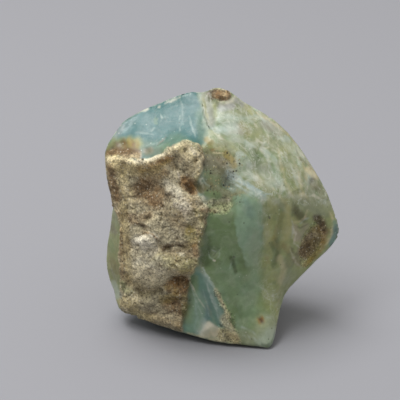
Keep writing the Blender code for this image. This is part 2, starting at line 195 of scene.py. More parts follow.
# Lumps and hollows of the front: column, row, half width, half height, turn, rise in mm.
LUMPS = [
    # the knob at the end of the ledge, and the pits beside it
    (190, 161, 11, 16, 0, 0.9), (176, 166, 4, 7, 10, -0.8), (196, 160, 3, 3, 0, -0.4),
    # the recess under the ledge
    (152, 180, 20, 12, 0, -1.0), (148, 195, 13, 12, 0, -0.6), (127, 172, 8, 9, 0, -0.4),
    (115, 166, 6, 4, 0, 0.4),
    # the hole beside the green side, and the boss below it
    (192, 189, 6, 6, 0, -1.1), (181, 209, 13, 15, 0, 0.6), (160, 208, 8, 9, 0, -0.4),
    (222, 205, 11, 8, 0, -0.7),
    # the boss with the pit beside it
    (149, 238, 10, 6, 0, 0.9), (168, 249, 4, 4, 0, -0.9), (183, 238, 9, 12, 0, 0.3),
    # the pale swelling
    (152, 264, 20, 14, 0, 0.9), (130, 250, 5, 20, 0, -0.2),
    # the overhang and the hollow below it
    (183, 263, 11, 7, 0, 0.9), (181, 281, 11, 6, 0, -1.5), (178, 306, 9, 8, 0, -0.5),
    (146, 301, 13, 6, 0, 0.6), (152, 289, 14, 4, 5, -0.5), (128, 305, 7, 8, 0, 0.4),
    # the knob on top
    (220, 97, 12, 7, 0, 0.6), (211, 99, 3, 4, 0, -0.5),
    # chips, flutes and the stained hollow of the green side
    (229, 183, 8, 8, 0, -0.6), (247, 228, 12, 30, 0, 0.4), (266, 228, 6, 26, 5, -0.2),
    (214, 253, 8, 9, 0, -0.35), (222, 240, 7, 12, 0, -0.15), (250, 160, 16, 8, 30, 0.25),
    (285, 160, 14, 7, 45, 0.2), (262, 172, 14, 6, 20, -0.2), (313, 243, 12, 22, 25, -0.5),
    (297, 229, 6, 16, 15, 0.2), (259, 303, 12, 22, 10, -0.4), (264, 328, 10, 8, 0, 0.2),
    # chips of the blue face
    (160, 128, 26, 10, -20, -0.25), (128, 126, 8, 6, -30, -0.3), (196, 122, 6, 12, 10, 0.2),
]

# Small pits, grains and chips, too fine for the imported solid, in the same order of numbers.
SMALL_LUMPS = [
    (123, 172, 1.6, 1.6, 0, -0.35), (131, 177, 1.5, 1.5, 0, -0.3), (120.5, 200, 1.6, 1.6, 0, -0.4),
    (128, 200, 1.3, 1.3, 0, -0.3), (195.5, 160, 1.5, 3.0, 0, -0.5), (167, 248, 4.0, 2.4, 10, -0.6),
    (137.5, 245, 1.3, 1.3, 0, -0.3), (143, 226, 3.0, 1.4, 15, -0.35), (181, 255, 3.0, 2.8, 0, 0.35),
    (189, 186, 3.0, 3.5, 0, -0.5), (181, 280, 5.0, 3.0, 0, -0.6), (179, 298, 6.0, 1.6, 0, -0.5),
    (163, 313.5, 5.0, 1.4, 0, -0.35), (122, 144, 4.0, 3.5, 0, -0.25),
    (177, 158, 4.0, 4.0, 0, -0.35), (210, 94, 1.8, 2.4, 0, -0.4), (222, 100, 4.0, 1.6, -15, -0.3),
    (188.7, 91.5, 1.4, 1.0, 0, -0.25), (236, 266, 2.4, 6.0, -10, -0.18),
    (214, 253, 4.5, 5.0, 0, -0.3), (229, 187, 5.0, 2.2, 15, -0.3), (321, 224, 5.0, 6.0, 0, -0.5),
    (308, 242, 5.0, 9.0, 20, -0.3), (261, 321, 2.0, 2.0, 0, -0.12), (209, 328, 6.0, 6.0, 0, 0.25),
    (313, 182, 3.0, 4.0, 0, -0.25), (146, 151, 4.5, 3.5, 0, -0.2),
]

# Cracks and sharp steps: a half width and a depth in mm, then columns and rows.
CRACKS = [
    (0.5, 0.25, [(137, 241), (144, 247), (154, 249), (163, 245)]),
    (0.5, 0.35, [(162, 299), (174, 301), (187, 300)]),
    (0.5, 0.25, [(150, 313), (164, 311), (178, 313)]),
    (0.6, 0.3, [(130, 186), (144, 190), (160, 189), (172, 183)]),
    (0.5, 0.5, [(124, 215), (124, 240), (125, 262), (127, 285)]),
    (0.5, 0.2, [(176, 224), (186, 227), (196, 221)]),
    (1.0, -0.3, [(118, 166), (125, 185), (130, 205), (131, 230)]),
    (1.1, -0.35, [(170, 190), (180, 202), (190, 216)]),
    (0.7, 0.5, [(127, 279), (133, 288), (142, 293), (152, 291), (163, 287), (173, 280)]),
    (0.22, 0.35, [(139, 236), (146, 233), (153, 235), (159, 241)]),
    (0.2, 0.3, [(171, 246.5), (178, 244.5), (187, 246)]),
    (0.2, 0.3, [(127, 277), (131, 284), (138, 287), (142, 296)]),
    (0.2, 0.25, [(112, 183), (114, 195), (112.5, 205)]),
    (0.12, 0.12, [(157, 145), (161, 142), (166, 137)]),
    (0.15, 0.15, [(208, 248), (213, 259), (220, 250)]),
    (0.15, 0.12, [(203, 102), (205, 115), (210, 127), (219, 135)]),
]


def to_grid(points):
    """The grid columns and rows at which the points are seen."""
    offset = points - MIDDLE
    near = offset[:, 2] * math.sin(GRID_TILT) - offset[:, 1] * math.cos(GRID_TILT)
    up = offset[:, 2] * math.cos(GRID_TILT) + offset[:, 1] * math.sin(GRID_TILT)
    scale = EYE_DISTANCE / (EYE_DISTANCE - near) / GRID_STEP
    columns = GRID_CENTRE[0] + (offset[:, 0] + MIDDLE_ACROSS) * scale
    rows = GRID_CENTRE[1] - (up + MIDDLE_UP) * scale
    return np.stack([columns, rows], axis=1)


def from_grid(column, row, depth):
    """The point at this depth along Y that is seen at this place on the grid."""
    depth = depth * MM
    near = 0.0
    for _ in range(6):
        scale = (EYE_DISTANCE - near) / EYE_DISTANCE
        across = (column - GRID_CENTRE[0]) * GRID_STEP * scale - MIDDLE_ACROSS
        up = (GRID_CENTRE[1] - row) * GRID_STEP * scale - MIDDLE_UP
        height = (up - depth * math.sin(GRID_TILT)) / math.cos(GRID_TILT)
        near = height * math.sin(GRID_TILT) - depth * math.cos(GRID_TILT)
    return np.array((across, depth, height)) + (0.0, 0.0, MIDDLE[2])


def behind(ridge):
    """The points of a ridge of the hidden sides."""
    ends = [from_grid(*RIM[p]) if isinstance(p, int) else np.array(p) * MM for p in ridge]
    return np.array(ends)


def net():
    """The stone's corner points and the triangles between them."""
    front = RIM + LEDGE + BLUE_EDGE + CRUST_EDGE + CREAM_RIDGE + LEFT_EDGE + GREEN_RIDGE
    points = [from_grid(*point) for point in front + FRONT_POINTS]
    points += [np.array(point) * MM for point in BACK_POINTS + FOOT_POINTS]
    points = np.concatenate([points] + [behind(ridge) for ridge in BACK_RIDGES])
    apart = np.linalg.norm(points[:, None] - points, axis=2) + np.eye(len(points))
    points = points[[not (apart[index, :index] < 0.6 * MM).any() for index in range(len(points))]]
    # Seen from the middle, the corners are joined as their nearest neighbours are.
    bm = bmesh.new()
    for point in points:
        bm.verts.new(Vector(point - MIDDLE).normalized())
    bmesh.ops.convex_hull(bm, input=bm.verts)
    bm.verts.index_update()
    faces = [[vert.index for vert in face.verts] for face in bm.faces]
    bm.free()
    return points, faces


def reaches(directions):
    """How far the net lies from the middle in each direction."""
    points, faces = net()
    tree = BVHTree.FromPolygons([Vector(point - MIDDLE) for point in points], faces)
    return np.array([tree.ray_cast(Vector(), Vector(way))[3] for way in directions])


def nearest_on_lines(points, lines):
    """The distance from each point to the nearest of some lines, and the place there."""
    best = np.full(len(points), np.inf)
    place = points.copy()
    for line in lines:
        for start, end in zip(line[:-1], line[1:]):
            along = end - start
            share = np.clip((points - start) @ along / (along @ along), 0.0, 1.0)
            spot = start + share[:, None] * along
            gap = np.linalg.norm(points - spot, axis=1)
            closer = gap < best
            best[closer] = gap[closer]
            place[closer] = spot[closer]
    return best, place


def smooth_step(low, high, value):
    """Rises gently from 0 to 1 while the value goes from low to high."""
    share = np.clip((value - low) / (high - low), 0.0, 1.0)
    return share * share * (3.0 - 2.0 * share)


def inside_border(places, border):
    """How far each place lies inside a closed border, less than zero outside it."""
    border = np.array(border, float)
    closed = np.concatenate([border, border[:1]])
    gap, _ = nearest_on_lines(places, [closed])
    inside = np.zeros(len(places), bool)
    for (x0, y0), (x1, y1) in zip(closed[:-1], closed[1:]):
        if y0 == y1:
            continue
        crosses = (places[:, 1] < y0) != (places[:, 1] < y1)
        inside ^= crosses & (places[:, 0] < x0 + (places[:, 1] - y0) * (x1 - x0) / (y1 - y0))
    return np.where(inside, gap, -gap)


def fractal(points, size, octaves, seed):
    """Smooth noise between about -1 and 1, with features of the given size."""
    shift = Vector((seed * 13.7, seed * 7.3, seed * 3.1))
    return np.array([noise.fractal(Vector(p / size) + shift, 1.0, 2.1, octaves) for p in points])


def ends_and_corners(bm):
    """The edges and the triangles of a mesh, as vertex numbers."""
    bm.verts.index_update()
    edges = np.array([[vert.index for vert in edge.verts] for edge in bm.edges])
    triangles = np.array([[vert.index for vert in face.verts] for face in bm.faces])
    return edges, triangles


def of_neighbours(values, edges, ties):
    """The mean over each vertex's neighbours."""
    total = np.bincount(edges[:, 0], values[edges[:, 1]], len(values))
    total += np.bincount(edges[:, 1], values[edges[:, 0]], len(values))
    return total / ties


def normals_of(points, triangles):
    """The outward direction of the surface at each vertex."""
    sides = points[triangles]
    turn = np.cross(sides[:, 1] - sides[:, 0], sides[:, 2] - sides[:, 0])
    total = np.zeros_like(points)
    for corner in range(3):
        for axis in range(3):
            total[:, axis] += np.bincount(triangles[:, corner], turn[:, axis], len(points))
    return total / np.linalg.norm(total, axis=1)[:, None]


def rounded(surface, edges, lines, rounds):
    """The surface with its faces rounded and its ridges kept."""
    ties = np.bincount(edges.ravel(), minlength=len(surface))
    reach = np.linalg.norm(surface - MIDDLE, axis=1)
    directions = (surface - MIDDLE) / reach[:, None]
    gap, _ = nearest_on_lines(surface, lines)
    turn = sum(way * of_neighbours(way, edges, ties) for way in directions.T)
    freedom = smooth_step(0.2 * MM, 2.5 * MM, gap)
    inverse = 1.0 / reach
    for _ in range(rounds):
        inverse += freedom * (of_neighbours(inverse, edges, ties) / turn - inverse)
    return MIDDLE + directions / inverse[:, None]


# Turn the vertices beside a ridge to the ridge itself, then pull the sphere out to the net.
bm = bmesh.new()
bmesh.ops.create_icosphere(bm, subdivisions=7, radius=1.0)
directions = np.array([vert.co for vert in bm.verts])
directions /= np.linalg.norm(directions, axis=1)[:, None]
edges, triangles = ends_and_corners(bm)
front_lines = [RIM + RIM[:1], LEDGE, BLUE_EDGE, CRUST_EDGE, CREAM_RIDGE, LEFT_EDGE]
ridges = [np.array([from_grid(*point) for point in line]) for line in front_lines]
ridges += [behind(ridge) for ridge in BACK_RIDGES]
rays = [line - MIDDLE for line in ridges]
rays = [line / np.linalg.norm(line, axis=1)[:, None] for line in rays]
gap, place = nearest_on_lines(directions, rays)
spacing = np.linalg.norm(directions[edges[:, 0]] - directions[edges[:, 1]], axis=1).mean()
beside = gap < 0.5 * spacing
directions[beside] = place[beside]
directions /= np.linalg.norm(directions, axis=1)[:, None]
surface = MIDDLE + directions * reaches(directions)[:, None]
surface = rounded(surface, edges, ridges, rounds=40)

# Make the mesh twice as fine on the front, where the detail is, but not on the smooth green.
SMOOTH_GREEN = [(236, 204), (260, 204), (262, 260), (278, 260), (273, 298), (263, 312), (248, 315),
                (236, 306), (212, 278), (209, 266), (235, 262)]
towards = np.array((0.0, -math.cos(GRID_TILT), math.sin(GRID_TILT)))
detailed = normals_of(surface, triangles) @ towards > 0.05
detailed &= inside_border(to_grid(surface), SMOOTH_GREEN) < 0.0
for vert, point in zip(bm.verts, surface):
    vert.co = point
bm.verts.ensure_lookup_table()
fine_edges = [edge for edge in bm.edges if all(detailed[vert.index] for vert in edge.verts)]
bmesh.ops.subdivide_edges(bm, edges=fine_edges, cuts=1, use_grid_fill=True)
bmesh.ops.triangulate(bm, faces=bm.faces)
surface = np.array([vert.co for vert in bm.verts])
edges, triangles = ends_and_corners(bm)
surface = rounded(surface, edges, ridges, rounds=8)

# Say where each vertex is: on the grid, on the front, near the rim, on the crust.
places = to_grid(surface)
normals = normals_of(surface, triangles)
front = smooth_step(-0.1, 0.15, normals @ towards)
from_rim, _ = nearest_on_lines(surface, ridges[:1])
from_ridge, _ = nearest_on_lines(surface, ridges)
off_rim = smooth_step(0.0, 1.6 * MM, from_rim)
ragged = 1.6 * fractal(surface, 1.6 * MM, 3, 7)
crust = smooth_step(-1.2, 1.6, inside_border(places, CRUST) + ragged) * front
film = np.zeros(len(surface))
for border in FILMS:
    depth = inside_border(places, border) + 1.5 * ragged
    film = np.maximum(film, smooth_step(-1.5, 1.5, depth) * front)
for x, y, z, radius in HIDDEN_CRUST:
    distance = np.linalg.norm(surface - np.array((x, y, z)) * MM, axis=1)
    depth = radius * MM * (1.0 + 0.5 * fractal(surface, 5 * MM, 5, 5)) - distance
    crust = np.maximum(crust, smooth_step(0.0, 1.8 * MM, depth) * (1.0 - front))

# Raise the crust, its lumps and its rough grain, and sink the cracks.
rise = crust * CRUST_HEIGHT * off_rim
for column, row, wide, high, turned, lift in LUMPS + SMALL_LUMPS:
    angle = math.radians(turned)
    across = places - (column, row)
    along = across[:, 0] * math.cos(angle) + across[:, 1] * math.sin(angle)
    beyond = across[:, 1] * math.cos(angle) - across[:, 0] * math.sin(angle)
    swell = np.exp(-((along / wide) ** 2 + (beyond / high) ** 2))
    rise += lift * MM * swell * front * off_rim
wander = 1.2 * np.stack([fractal(surface, 0.9 * MM, 2, seed) for seed in (8, 9)], axis=1)
for wide, deep, line in CRACKS:
    away, _ = nearest_on_lines(places + wander, [np.array(line, float)])
    rise -= deep * MM * np.exp(-((away * GRID_STEP / (wide * MM)) ** 2)) * front * off_rim
# The rock is uneven in three sizes, and pitted. The breaks of the opal are nearly even, in mm.
rough = 0.36 * fractal(surface, 3.0 * MM, 4, 1) + 0.16 * fractal(surface, 1.2 * MM, 2, 2)
rough += 0.12 * fractal(surface, 0.6 * MM, 2, 10)
pits = smooth_step(0.4, 0.7, fractal(surface, 1.0 * MM, 2, 11))
rough -= 0.35 * pits
even = 0.10 * fractal(surface, 7.0 * MM, 2, 3) + 0.05 * fractal(surface, 2.5 * MM, 2, 4)
even += 0.015 * fractal(surface, 0.8 * MM, 2, 12)
back = 0.30 * fractal(surface, 8.0 * MM, 3, 6)
rise += MM * (1.0 - crust) * film * 0.35 * rough * (0.3 + 0.7 * off_rim)
bare = even + (1.0 - front) * back
rise += MM * (crust * rough + (1.0 - crust) * bare) * (0.25 + 0.75 * off_rim)
surface = surface + normals * rise[:, None]
surface[:, 2] = np.maximum(surface[:, 2], 0.0)

# The stone's colours, as they look in even daylight, in red, green and blue out of 255.
TONES = {
    "turquoise": (53, 98, 98), "pale blue": (104, 130, 131), "teal": (142, 168, 140),
    "lime": (154, 162, 106), "deep teal": (102, 136, 120), "sea green": (92, 118, 94),
    "moss": (116, 138, 94), "dark moss": (66, 84, 42), "stain": (82, 80, 48),
    "olive": (142, 146, 94), "straw": (170, 168, 114), "sage": (150, 155, 124),
    "slate": (108, 128, 116), "frost": (172, 190, 188), "milk": (186, 198, 188),
    "lilac": (164, 162, 160), "chalk": (220, 214, 194), "cream": (214, 200, 162),
    "sand": (186, 170, 122), "tan": (164, 138, 96), "pink": (150, 132, 110),
    "ash": (172, 163, 135), "grey": (124, 118, 96), "ochre": (146, 128, 64),
    "rust": (142, 106, 60), "brown": (120, 92, 56), "umber": (84, 64, 40),
    "black": (46, 42, 34),
}


def daylight(name):
    """A tone as the amounts of light that the surface sends back."""
    share = np.array(TONES[name]) / 255.0
    return np.where(share <= 0.04045, share / 12.92, ((share + 0.055) / 1.055) ** 2.4)


# Coloured areas of the front: tone, strength, soft edge, then the border on the grid.
AREAS = [
    ("turquoise", 1.0, 5, [(100, 160), (104, 146), (121, 120), (143, 106), (188, 88), (199, 92),
                           (204, 104), (206, 120), (205, 136), (200, 152), (172, 156), (150, 164)]),
    ("sage", 0.9, 8, [(204, 92), (250, 98), (300, 140), (330, 190), (336, 206), (262, 203),
                      (240, 188), (222, 166), (208, 142), (204, 115)]),
    ("moss", 1.0, 10, [(206, 206), (262, 198), (272, 220), (268, 240), (262, 270), (284, 300),
                       (282, 350), (240, 350), (212, 286), (202, 266), (202, 232)]),
    ("lime", 0.85, 16, [(266, 196), (300, 200), (338, 212), (336, 244), (290, 292), (286, 330),
                        (272, 322), (264, 290), (260, 260), (268, 236), (260, 220)]),
    ("deep teal", 0.95, 4, [(188, 274), (200, 272), (208, 276), (222, 305), (238, 345),
                            (180, 345), (188, 300)]),
    ("olive", 0.9, 3, [(100, 212), (116, 206), (121, 225), (122, 285), (130, 316),
                       (110, 316), (100, 270)]),
    ("stain", 0.45, 12, [(202, 146), (228, 148), (246, 158), (244, 170), (232, 180), (246, 204),
                         (206, 194), (202, 170)]),
    ("teal", 0.85, 2.5, [(232, 197), (246, 194), (261, 190), (262.5, 214), (262, 240), (258, 262),
                         (247, 266), (239, 246), (234, 222)]),
    ("lime", 0.65, 3, [(263, 197), (274, 198), (281, 212), (276, 228), (266, 240), (263.5, 224)]),
]

# Marks and veins of the front: tone, strength, half width, soft edge, how broken, then their line.
MARKS = [
    # blue face
    # painted reflection: the next two pale blue marks are the soft light's sheen on the upper left
    # of the blue face
    ("pale blue", 0.45, 7, 9, 0.0, [(118, 134), (130, 122), (142, 114)]),
    ("pale blue", 0.25, 6, 8, 0.0, [(124, 134), (136, 128)]),
    ("olive", 0.22, 8, 9, 0.0, [(138, 147), (158, 151)]),
    # painted reflection: a lilac glint of the light at the far upper left of the blue face
    ("lilac", 0.35, 3, 4, 0.0, [(114, 136), (122, 126)]),
    ("sea green", 0.6, 7, 9, 0.0, [(164, 146), (176, 140), (192, 148)]),
    ("sea green", 0.55, 5, 8, 0.0, [(200, 114), (203, 138)]),
    # painted shade: the dark strip just past the ridge beside the blue face
    ("slate", 0.85, 5, 6, 0.1, [(206, 97), (208, 112), (211, 124)]),
    ("sage", 0.5, 2.4, 4, 0.2, [(199, 94), (203, 106)]),
    ("chalk", 0.6, 1.1, 1.5, 0.5, [(128, 118), (134, 114.5)]),
    ("chalk", 0.6, 1.3, 1.5, 0.5, [(143, 111.5), (149, 108.5)]),
    ("chalk", 0.6, 1.0, 1.2, 0.2, [(159, 107), (160, 106.5)]),
    ("chalk", 0.5, 1.5, 2, 0.6, [(165, 103.5), (171, 100.5), (180, 97)]),
    ("milk", 0.6, 0.9, 1.2, 0.5, [(183, 96), (191, 93.5)]),
    ("black", 0.75, 1.0, 1.2, 0.0, [(188, 91), (189.5, 92)]),
    ("milk", 0.55, 0.8, 1.2, 0.0, [(160.5, 114), (162.3, 119)]),
    ("milk", 0.45, 0.8, 1.2, 0.0, [(180.2, 115), (179.4, 120)]),
    ("milk", 0.4, 0.8, 1.2, 0.0, [(151, 131), (154, 128)]),
    ("milk", 0.5, 0.8, 1.2, 0.0, [(179.8, 127.5), (179.6, 130.5)]),
    ("milk", 0.3, 1.0, 1.6, 0.3, [(189.4, 116), (191.3, 125), (195.4, 137)]),
    ("milk", 0.22, 0.9, 1.6, 0.0, [(136, 132.5), (153, 134.3)]),
    ("milk", 0.25, 0.9, 1.6, 0.0, [(145, 146.5), (150, 144), (157, 143)]),
    ("milk", 0.2, 1.0, 1.8, 0.0, [(180, 99), (182.5, 106), (182, 124)]),
    ("moss", 0.4, 1.6, 2.5, 0.0, [(156, 119), (156, 122.5)]),
    ("umber", 0.7, 0.8, 1.0, 0.0, [(158, 145), (162, 141), (166, 137)]),
    ("sea green", 0.8, 3.2, 4, 0.0, [(164, 149), (168, 146)]),
    ("pink", 0.6, 3.4, 4, 0.3, [(146, 151), (151, 150)]),
    ("stain", 0.35, 4, 5, 0.3, [(142, 154), (160, 152)]),
    ("olive", 0.95, 6.0, 7, 0.3, [(118, 144), (137, 143)]),
    ("stain", 0.5, 4.5, 6, 0.4, [(117, 145), (134, 145)]),
    ("ochre", 0.45, 4.0, 4, 0.4, [(131, 142), (136, 143)]),
    ("brown", 0.5, 5, 6, 0.4, [(110, 150), (120, 146), (134, 147)]),
    ("umber", 0.5, 3.0, 4, 0.5, [(119, 147), (124, 141)]),
    ("umber", 0.6, 1.2, 1.8, 0.4, [(113, 149), (117, 146)]),
    ("ochre", 0.55, 2.4, 3, 0.4, [(129, 139), (131, 146)]),
    ("ochre", 0.4, 2.0, 3, 0.4, [(137, 140), (138, 148)]),
    ("brown", 0.7, 1.6, 2.4, 0.4, [(124, 139), (125, 149)]),
    ("brown", 0.7, 1.6, 2.2, 0.4, [(133, 141), (134, 149)]),
    ("umber", 0.8, 1.8, 2.2, 0.4, [(117, 143), (119, 151)]),
    ("stain", 0.7, 3.0, 4, 0.3, [(108, 150), (113, 144)]),
    ("umber", 0.6, 1.2, 1.8, 0.4, [(127, 148), (131, 150)]),
    ("sand", 0.95, 4.0, 4, 0.3, [(108, 156), (122, 155), (137, 155)]),
    ("brown", 0.9, 3.2, 3.5, 0.3, [(108, 153), (122, 151.5), (137, 151.5)]),
    ("umber", 0.6, 2.6, 3.5, 0.5, [(112, 153), (124, 151), (134, 152)]),
    ("pink", 0.7, 2.2, 2.5, 0.3, [(124, 156), (140, 157)]),
    ("pink", 0.6, 2.0, 3, 0.3, [(133, 153.5), (139, 154)]),
    ("olive", 0.5, 3.0, 4, 0.2, [(107, 148), (112, 140)]),
    # ledge and knob
    # the cream and chalk lines along the ledge's edge are pale rock, brightened as a painted
    # highlight where the edge catches the light
    ("cream", 0.7, 3.2, 2.5, 0.3, [(105, 160), (112, 159.5), (122, 160.5), (131, 163)]),
    ("sand", 0.8, 7, 7, 0.3, [(114, 166), (126, 169), (138, 170)]),
    ("cream", 1.0, 2.1, 1.6, 0.05, [(128, 162), (138, 162.5), (149, 160.5), (160, 156.5),
                                    (170, 151.5)]),
    ("chalk", 0.7, 1.6, 1.6, 0.1, [(134, 161), (149, 160), (160, 156), (169, 151.5)]),
    ("pink", 0.7, 1.8, 2, 0.3, [(168, 149), (175, 145)]),
    ("sand", 0.6, 8, 6, 0.3, [(186, 151), (194, 157), (191, 170)]),
    ("cream", 0.8, 2.6, 3, 0.3, [(176, 147), (184, 143.5), (190, 146)]),
    # painted highlight: the knob's lit right side
    ("cream", 0.9, 3.4, 3, 0.2, [(191, 150), (198, 157), (199.5, 168), (195, 177)]),
    ("chalk", 0.5, 2.4, 3, 0.3, [(192, 150), (198, 157), (199, 168), (195, 176)]),
    ("ash", 0.6, 5, 5, 0.2, [(186, 156), (190, 166), (188, 174)]),
    ("straw", 0.6, 2.4, 3, 0.3, [(199, 168), (196, 179)]),
    # painted shade: the knob's left side, turned from the light
    ("grey", 0.9, 5.0, 5, 0.2, [(176, 157), (180, 163), (182, 172)]),
    ("umber", 0.6, 2.4, 3, 0.5, [(174, 158), (180, 162)]),
    ("umber", 0.9, 1.1, 1.4, 0.2, [(195.3, 159), (197, 166)]),
    ("lilac", 0.5, 1.2, 1.6, 0.2, [(177, 171), (180, 179)]),
    # brown rock under the knob, darkened as painted shade
    ("brown", 0.8, 3.0, 4, 0.3, [(182, 178), (194, 181)]),
    # under the ledge
    # painted shadow right under the ledge's edge, over brown rock
    ("brown", 0.85, 3.2, 3, 0.3, [(140, 169), (150, 167), (163, 162), (171, 158)]),
    ("rust", 0.5, 1.8, 2, 0.3, [(158, 162), (170, 157)]),
    ("ochre", 0.4, 3.0, 4, 0.4, [(140, 172), (158, 169)]),
    ("tan", 0.7, 4.5, 5, 0.4, [(142, 176), (164, 173)]),
    # brown rock in the recess under the ledge, darkened as painted shade
    ("brown", 0.85, 12, 12, 0.2, [(147, 188), (156, 196)]),
    ("umber", 0.55, 6, 8, 0.5, [(140, 189), (156, 186)]),
    ("umber", 0.5, 4, 6, 0.5, [(142, 192), (141, 206)]),
    ("pink", 0.3, 3.5, 5, 0.4, [(150, 199), (158, 201)]),
    ("sand", 0.7, 5, 7, 0.3, [(122, 178), (127, 192), (130, 210)]),
    ("chalk", 0.3, 2.4, 4, 0.4, [(126, 186), (130, 200), (131, 216)]),
    ("brown", 0.9, 4.2, 4, 0.3, [(110, 168), (113, 182), (117, 198)]),
    ("umber", 0.75, 3.2, 4, 0.4, [(111, 174), (115, 190)]),
    ("umber", 0.85, 0.9, 1.3, 0.0, [(107, 172), (108.5, 186), (112, 197), (113, 207)]),
    ("black", 0.7, 0.8, 1.2, 0.0, [(123, 171), (123, 173)]),
    ("black", 0.7, 0.8, 1.2, 0.0, [(130, 177), (132, 177.5)]),
    ("black", 0.8, 1.0, 1.2, 0.0, [(120.5, 199), (120.7, 201)]),
    ("black", 0.6, 0.7, 1.0, 0.0, [(127.6, 199.7), (128.5, 200)]),
    ("rust", 0.9, 5.0, 4, 0.2, [(184, 183), (193, 190)]),
    ("umber", 0.85, 3.0, 4, 0.2, [(186.5, 186), (191, 191)]),
    ("stain", 0.85, 3.4, 4, 0.2, [(197, 184), (202, 190)]),
    # middle of the crust
    ("grey", 0.55, 8, 9, 0.3, [(168, 186), (174, 198), (172, 208)]),
    ("chalk", 0.4, 3, 5, 0.4, [(176, 188), (184, 200), (192, 214)]),
    ("chalk", 0.4, 4, 6, 0.4, [(186, 206), (190, 220)]),
    ("brown", 0.65, 5.0, 7, 0.3, [(121, 214), (134, 219), (148, 215)]),
    ("grey", 0.35, 6, 8, 0.3, [(160, 236), (178, 241)]),
    ("umber", 0.75, 1.4, 1.6, 0.3, [(141, 224.5), (147, 226.5)]),
    ("chalk", 0.75, 6.5, 7, 0.2, [(139, 242), (151, 239)]),
    ("chalk", 0.5, 5, 7, 0.3, [(136, 252), (148, 256)]),
    ("ash", 0.7, 12, 10, 0.1, [(136, 258), (142, 274), (152, 278), (164, 268)]),
    ("chalk", 0.35, 7, 8, 0.3, [(138, 266), (150, 274), (160, 266)]),
    ("sand", 0.6, 7, 8, 0.2, [(134, 288), (142, 296)]),
    ("brown", 0.75, 0.9, 1.2, 0.1, [(140, 235), (146, 232.5), (153, 234.5), (159, 241)]),
    ("umber", 0.8, 0.8, 1.0, 0.0, [(137, 245), (138, 245.3)]),
    ("umber", 0.7, 0.7, 1.0, 0.0, [(140, 247.5), (141, 247.5)]),
    ("umber", 0.95, 2.2, 1.8, 0.2, [(163, 248.5), (168, 246)]),
    ("umber", 0.85, 1.2, 1.4, 0.2, [(168, 246.5), (178, 245), (187, 246)]),
    ("straw", 0.5, 6, 6, 0.3, [(190, 236), (194, 224), (198, 214)]),
    ("ochre", 0.75, 4.5, 5, 0.4, [(190, 232), (194, 226), (199, 220)]),
    ("ochre", 0.5, 4, 5, 0.4, [(188, 246), (196, 240)]),
    ("stain", 0.75, 2.6, 3, 0.3, [(205, 214), (204, 226), (202, 238)]),
    ("rust", 0.8, 2.5, 3, 0.4, [(198, 228), (201, 234)]),
    ("umber", 0.5, 2.0, 3, 0.5, [(200, 224), (200, 238)]),
    ("rust", 0.6, 3, 3, 0.4, [(194, 246), (196, 254)]),
    ("chalk", 0.6, 2.2, 2.5, 0.3, [(180.5, 254.5), (183, 255)]),
    ("brown", 0.6, 1.0, 1.5, 0.3, [(176, 252), (177, 260), (172, 266)]),
    ("straw", 0.4, 7, 8, 0.3, [(158, 260), (172, 262), (184, 262)]),
    ("straw", 0.6, 5, 5, 0.3, [(184, 268), (194, 263)]),
    ("ochre", 0.5, 3, 4, 0.4, [(182, 272), (192, 271)]),
    ("chalk", 0.6, 6, 5, 0.15, [(139, 240), (146, 246), (152, 250)]),
    ("ash", 0.6, 6, 6, 0.2, [(192, 218), (196, 224)]),
    ("ochre", 0.5, 3, 4, 0.4, [(188, 232), (194, 226)]),
    ("sand", 0.5, 4, 5, 0.3, [(146, 174), (158, 170)]),
    ("ochre", 0.45, 3, 4, 0.5, [(142, 170), (156, 168), (168, 162)]),
    ("umber", 0.8, 0.9, 1.2, 0.3, [(134, 222), (139, 224)]),
    ("umber", 0.8, 0.9, 1.2, 0.3, [(172, 244), (178, 243)]),
    ("black", 0.6, 0.8, 1.1, 0.0, [(137, 249), (137.5, 250)]),
    ("black", 0.5, 0.7, 1.0, 0.0, [(142, 226), (143, 226)]),
    ("umber", 0.7, 0.8, 1.1, 0.3, [(158, 262), (162, 268)]),
    ("umber", 0.7, 0.8, 1.1, 0.3, [(172, 258), (178, 262)]),
    ("umber", 0.6, 0.8, 1.1, 0.3, [(148, 268), (150, 274)]),
    ("rust", 0.35, 5, 6, 0.4, [(146, 196), (156, 204)]),
    ("umber", 0.4, 4, 5, 0.5, [(138, 186), (142, 200)]),
    ("chalk", 0.45, 4.5, 6, 0.3, [(168, 184), (176, 194), (182, 206)]),
    ("chalk", 0.4, 4, 6, 0.4, [(140, 262), (150, 266), (158, 260)]),
    ("lilac", 0.35, 3, 4, 0.3, [(176, 204), (184, 212)]),
    # below the overhang
    # painted shade: these two marks darken the grey-brown rock below the pale swelling, which lies
    # in its shadow
    ("grey", 0.75, 10, 8, 0.2, [(136, 298), (152, 302), (166, 298)]),
    ("stain", 0.5, 5, 6, 0.4, [(132, 288), (144, 294), (158, 290)]),
    ("ash", 0.5, 3, 4, 0.4, [(146, 300), (160, 304)]),
    ("umber", 0.75, 1.0, 1.8, 0.3, [(126, 276), (131, 285), (140, 291), (152, 290), (164, 285),
                                    (173, 279)]),
    ("rust", 0.8, 7, 6, 0.2, [(172, 286), (182, 290)]),
    ("ochre", 0.4, 3, 4, 0.4, [(166, 287), (176, 290)]),
    ("umber", 0.5, 4.0, 5, 0.5, [(170, 292), (180, 295), (186, 286)]),
    # painted shadow: the dark line right under the overhang
    ("umber", 0.95, 2.8, 2.5, 0.1, [(174, 279), (180, 278), (188, 282)]),
    ("umber", 0.9, 1.8, 2, 0.2, [(172, 298), (180, 299), (187, 298)]),
    ("brown", 0.9, 7, 7, 0.2, [(170, 305), (184, 308)]),
    ("umber", 0.45, 5, 6, 0.5, [(170, 302), (180, 309)]),
    ("umber", 0.9, 0.9, 1.2, 0.1, [(157, 313), (163, 314.5), (169, 313.5)]),
    ("tan", 0.8, 4, 4, 0.3, [(150, 318), (166, 322), (178, 325)]),
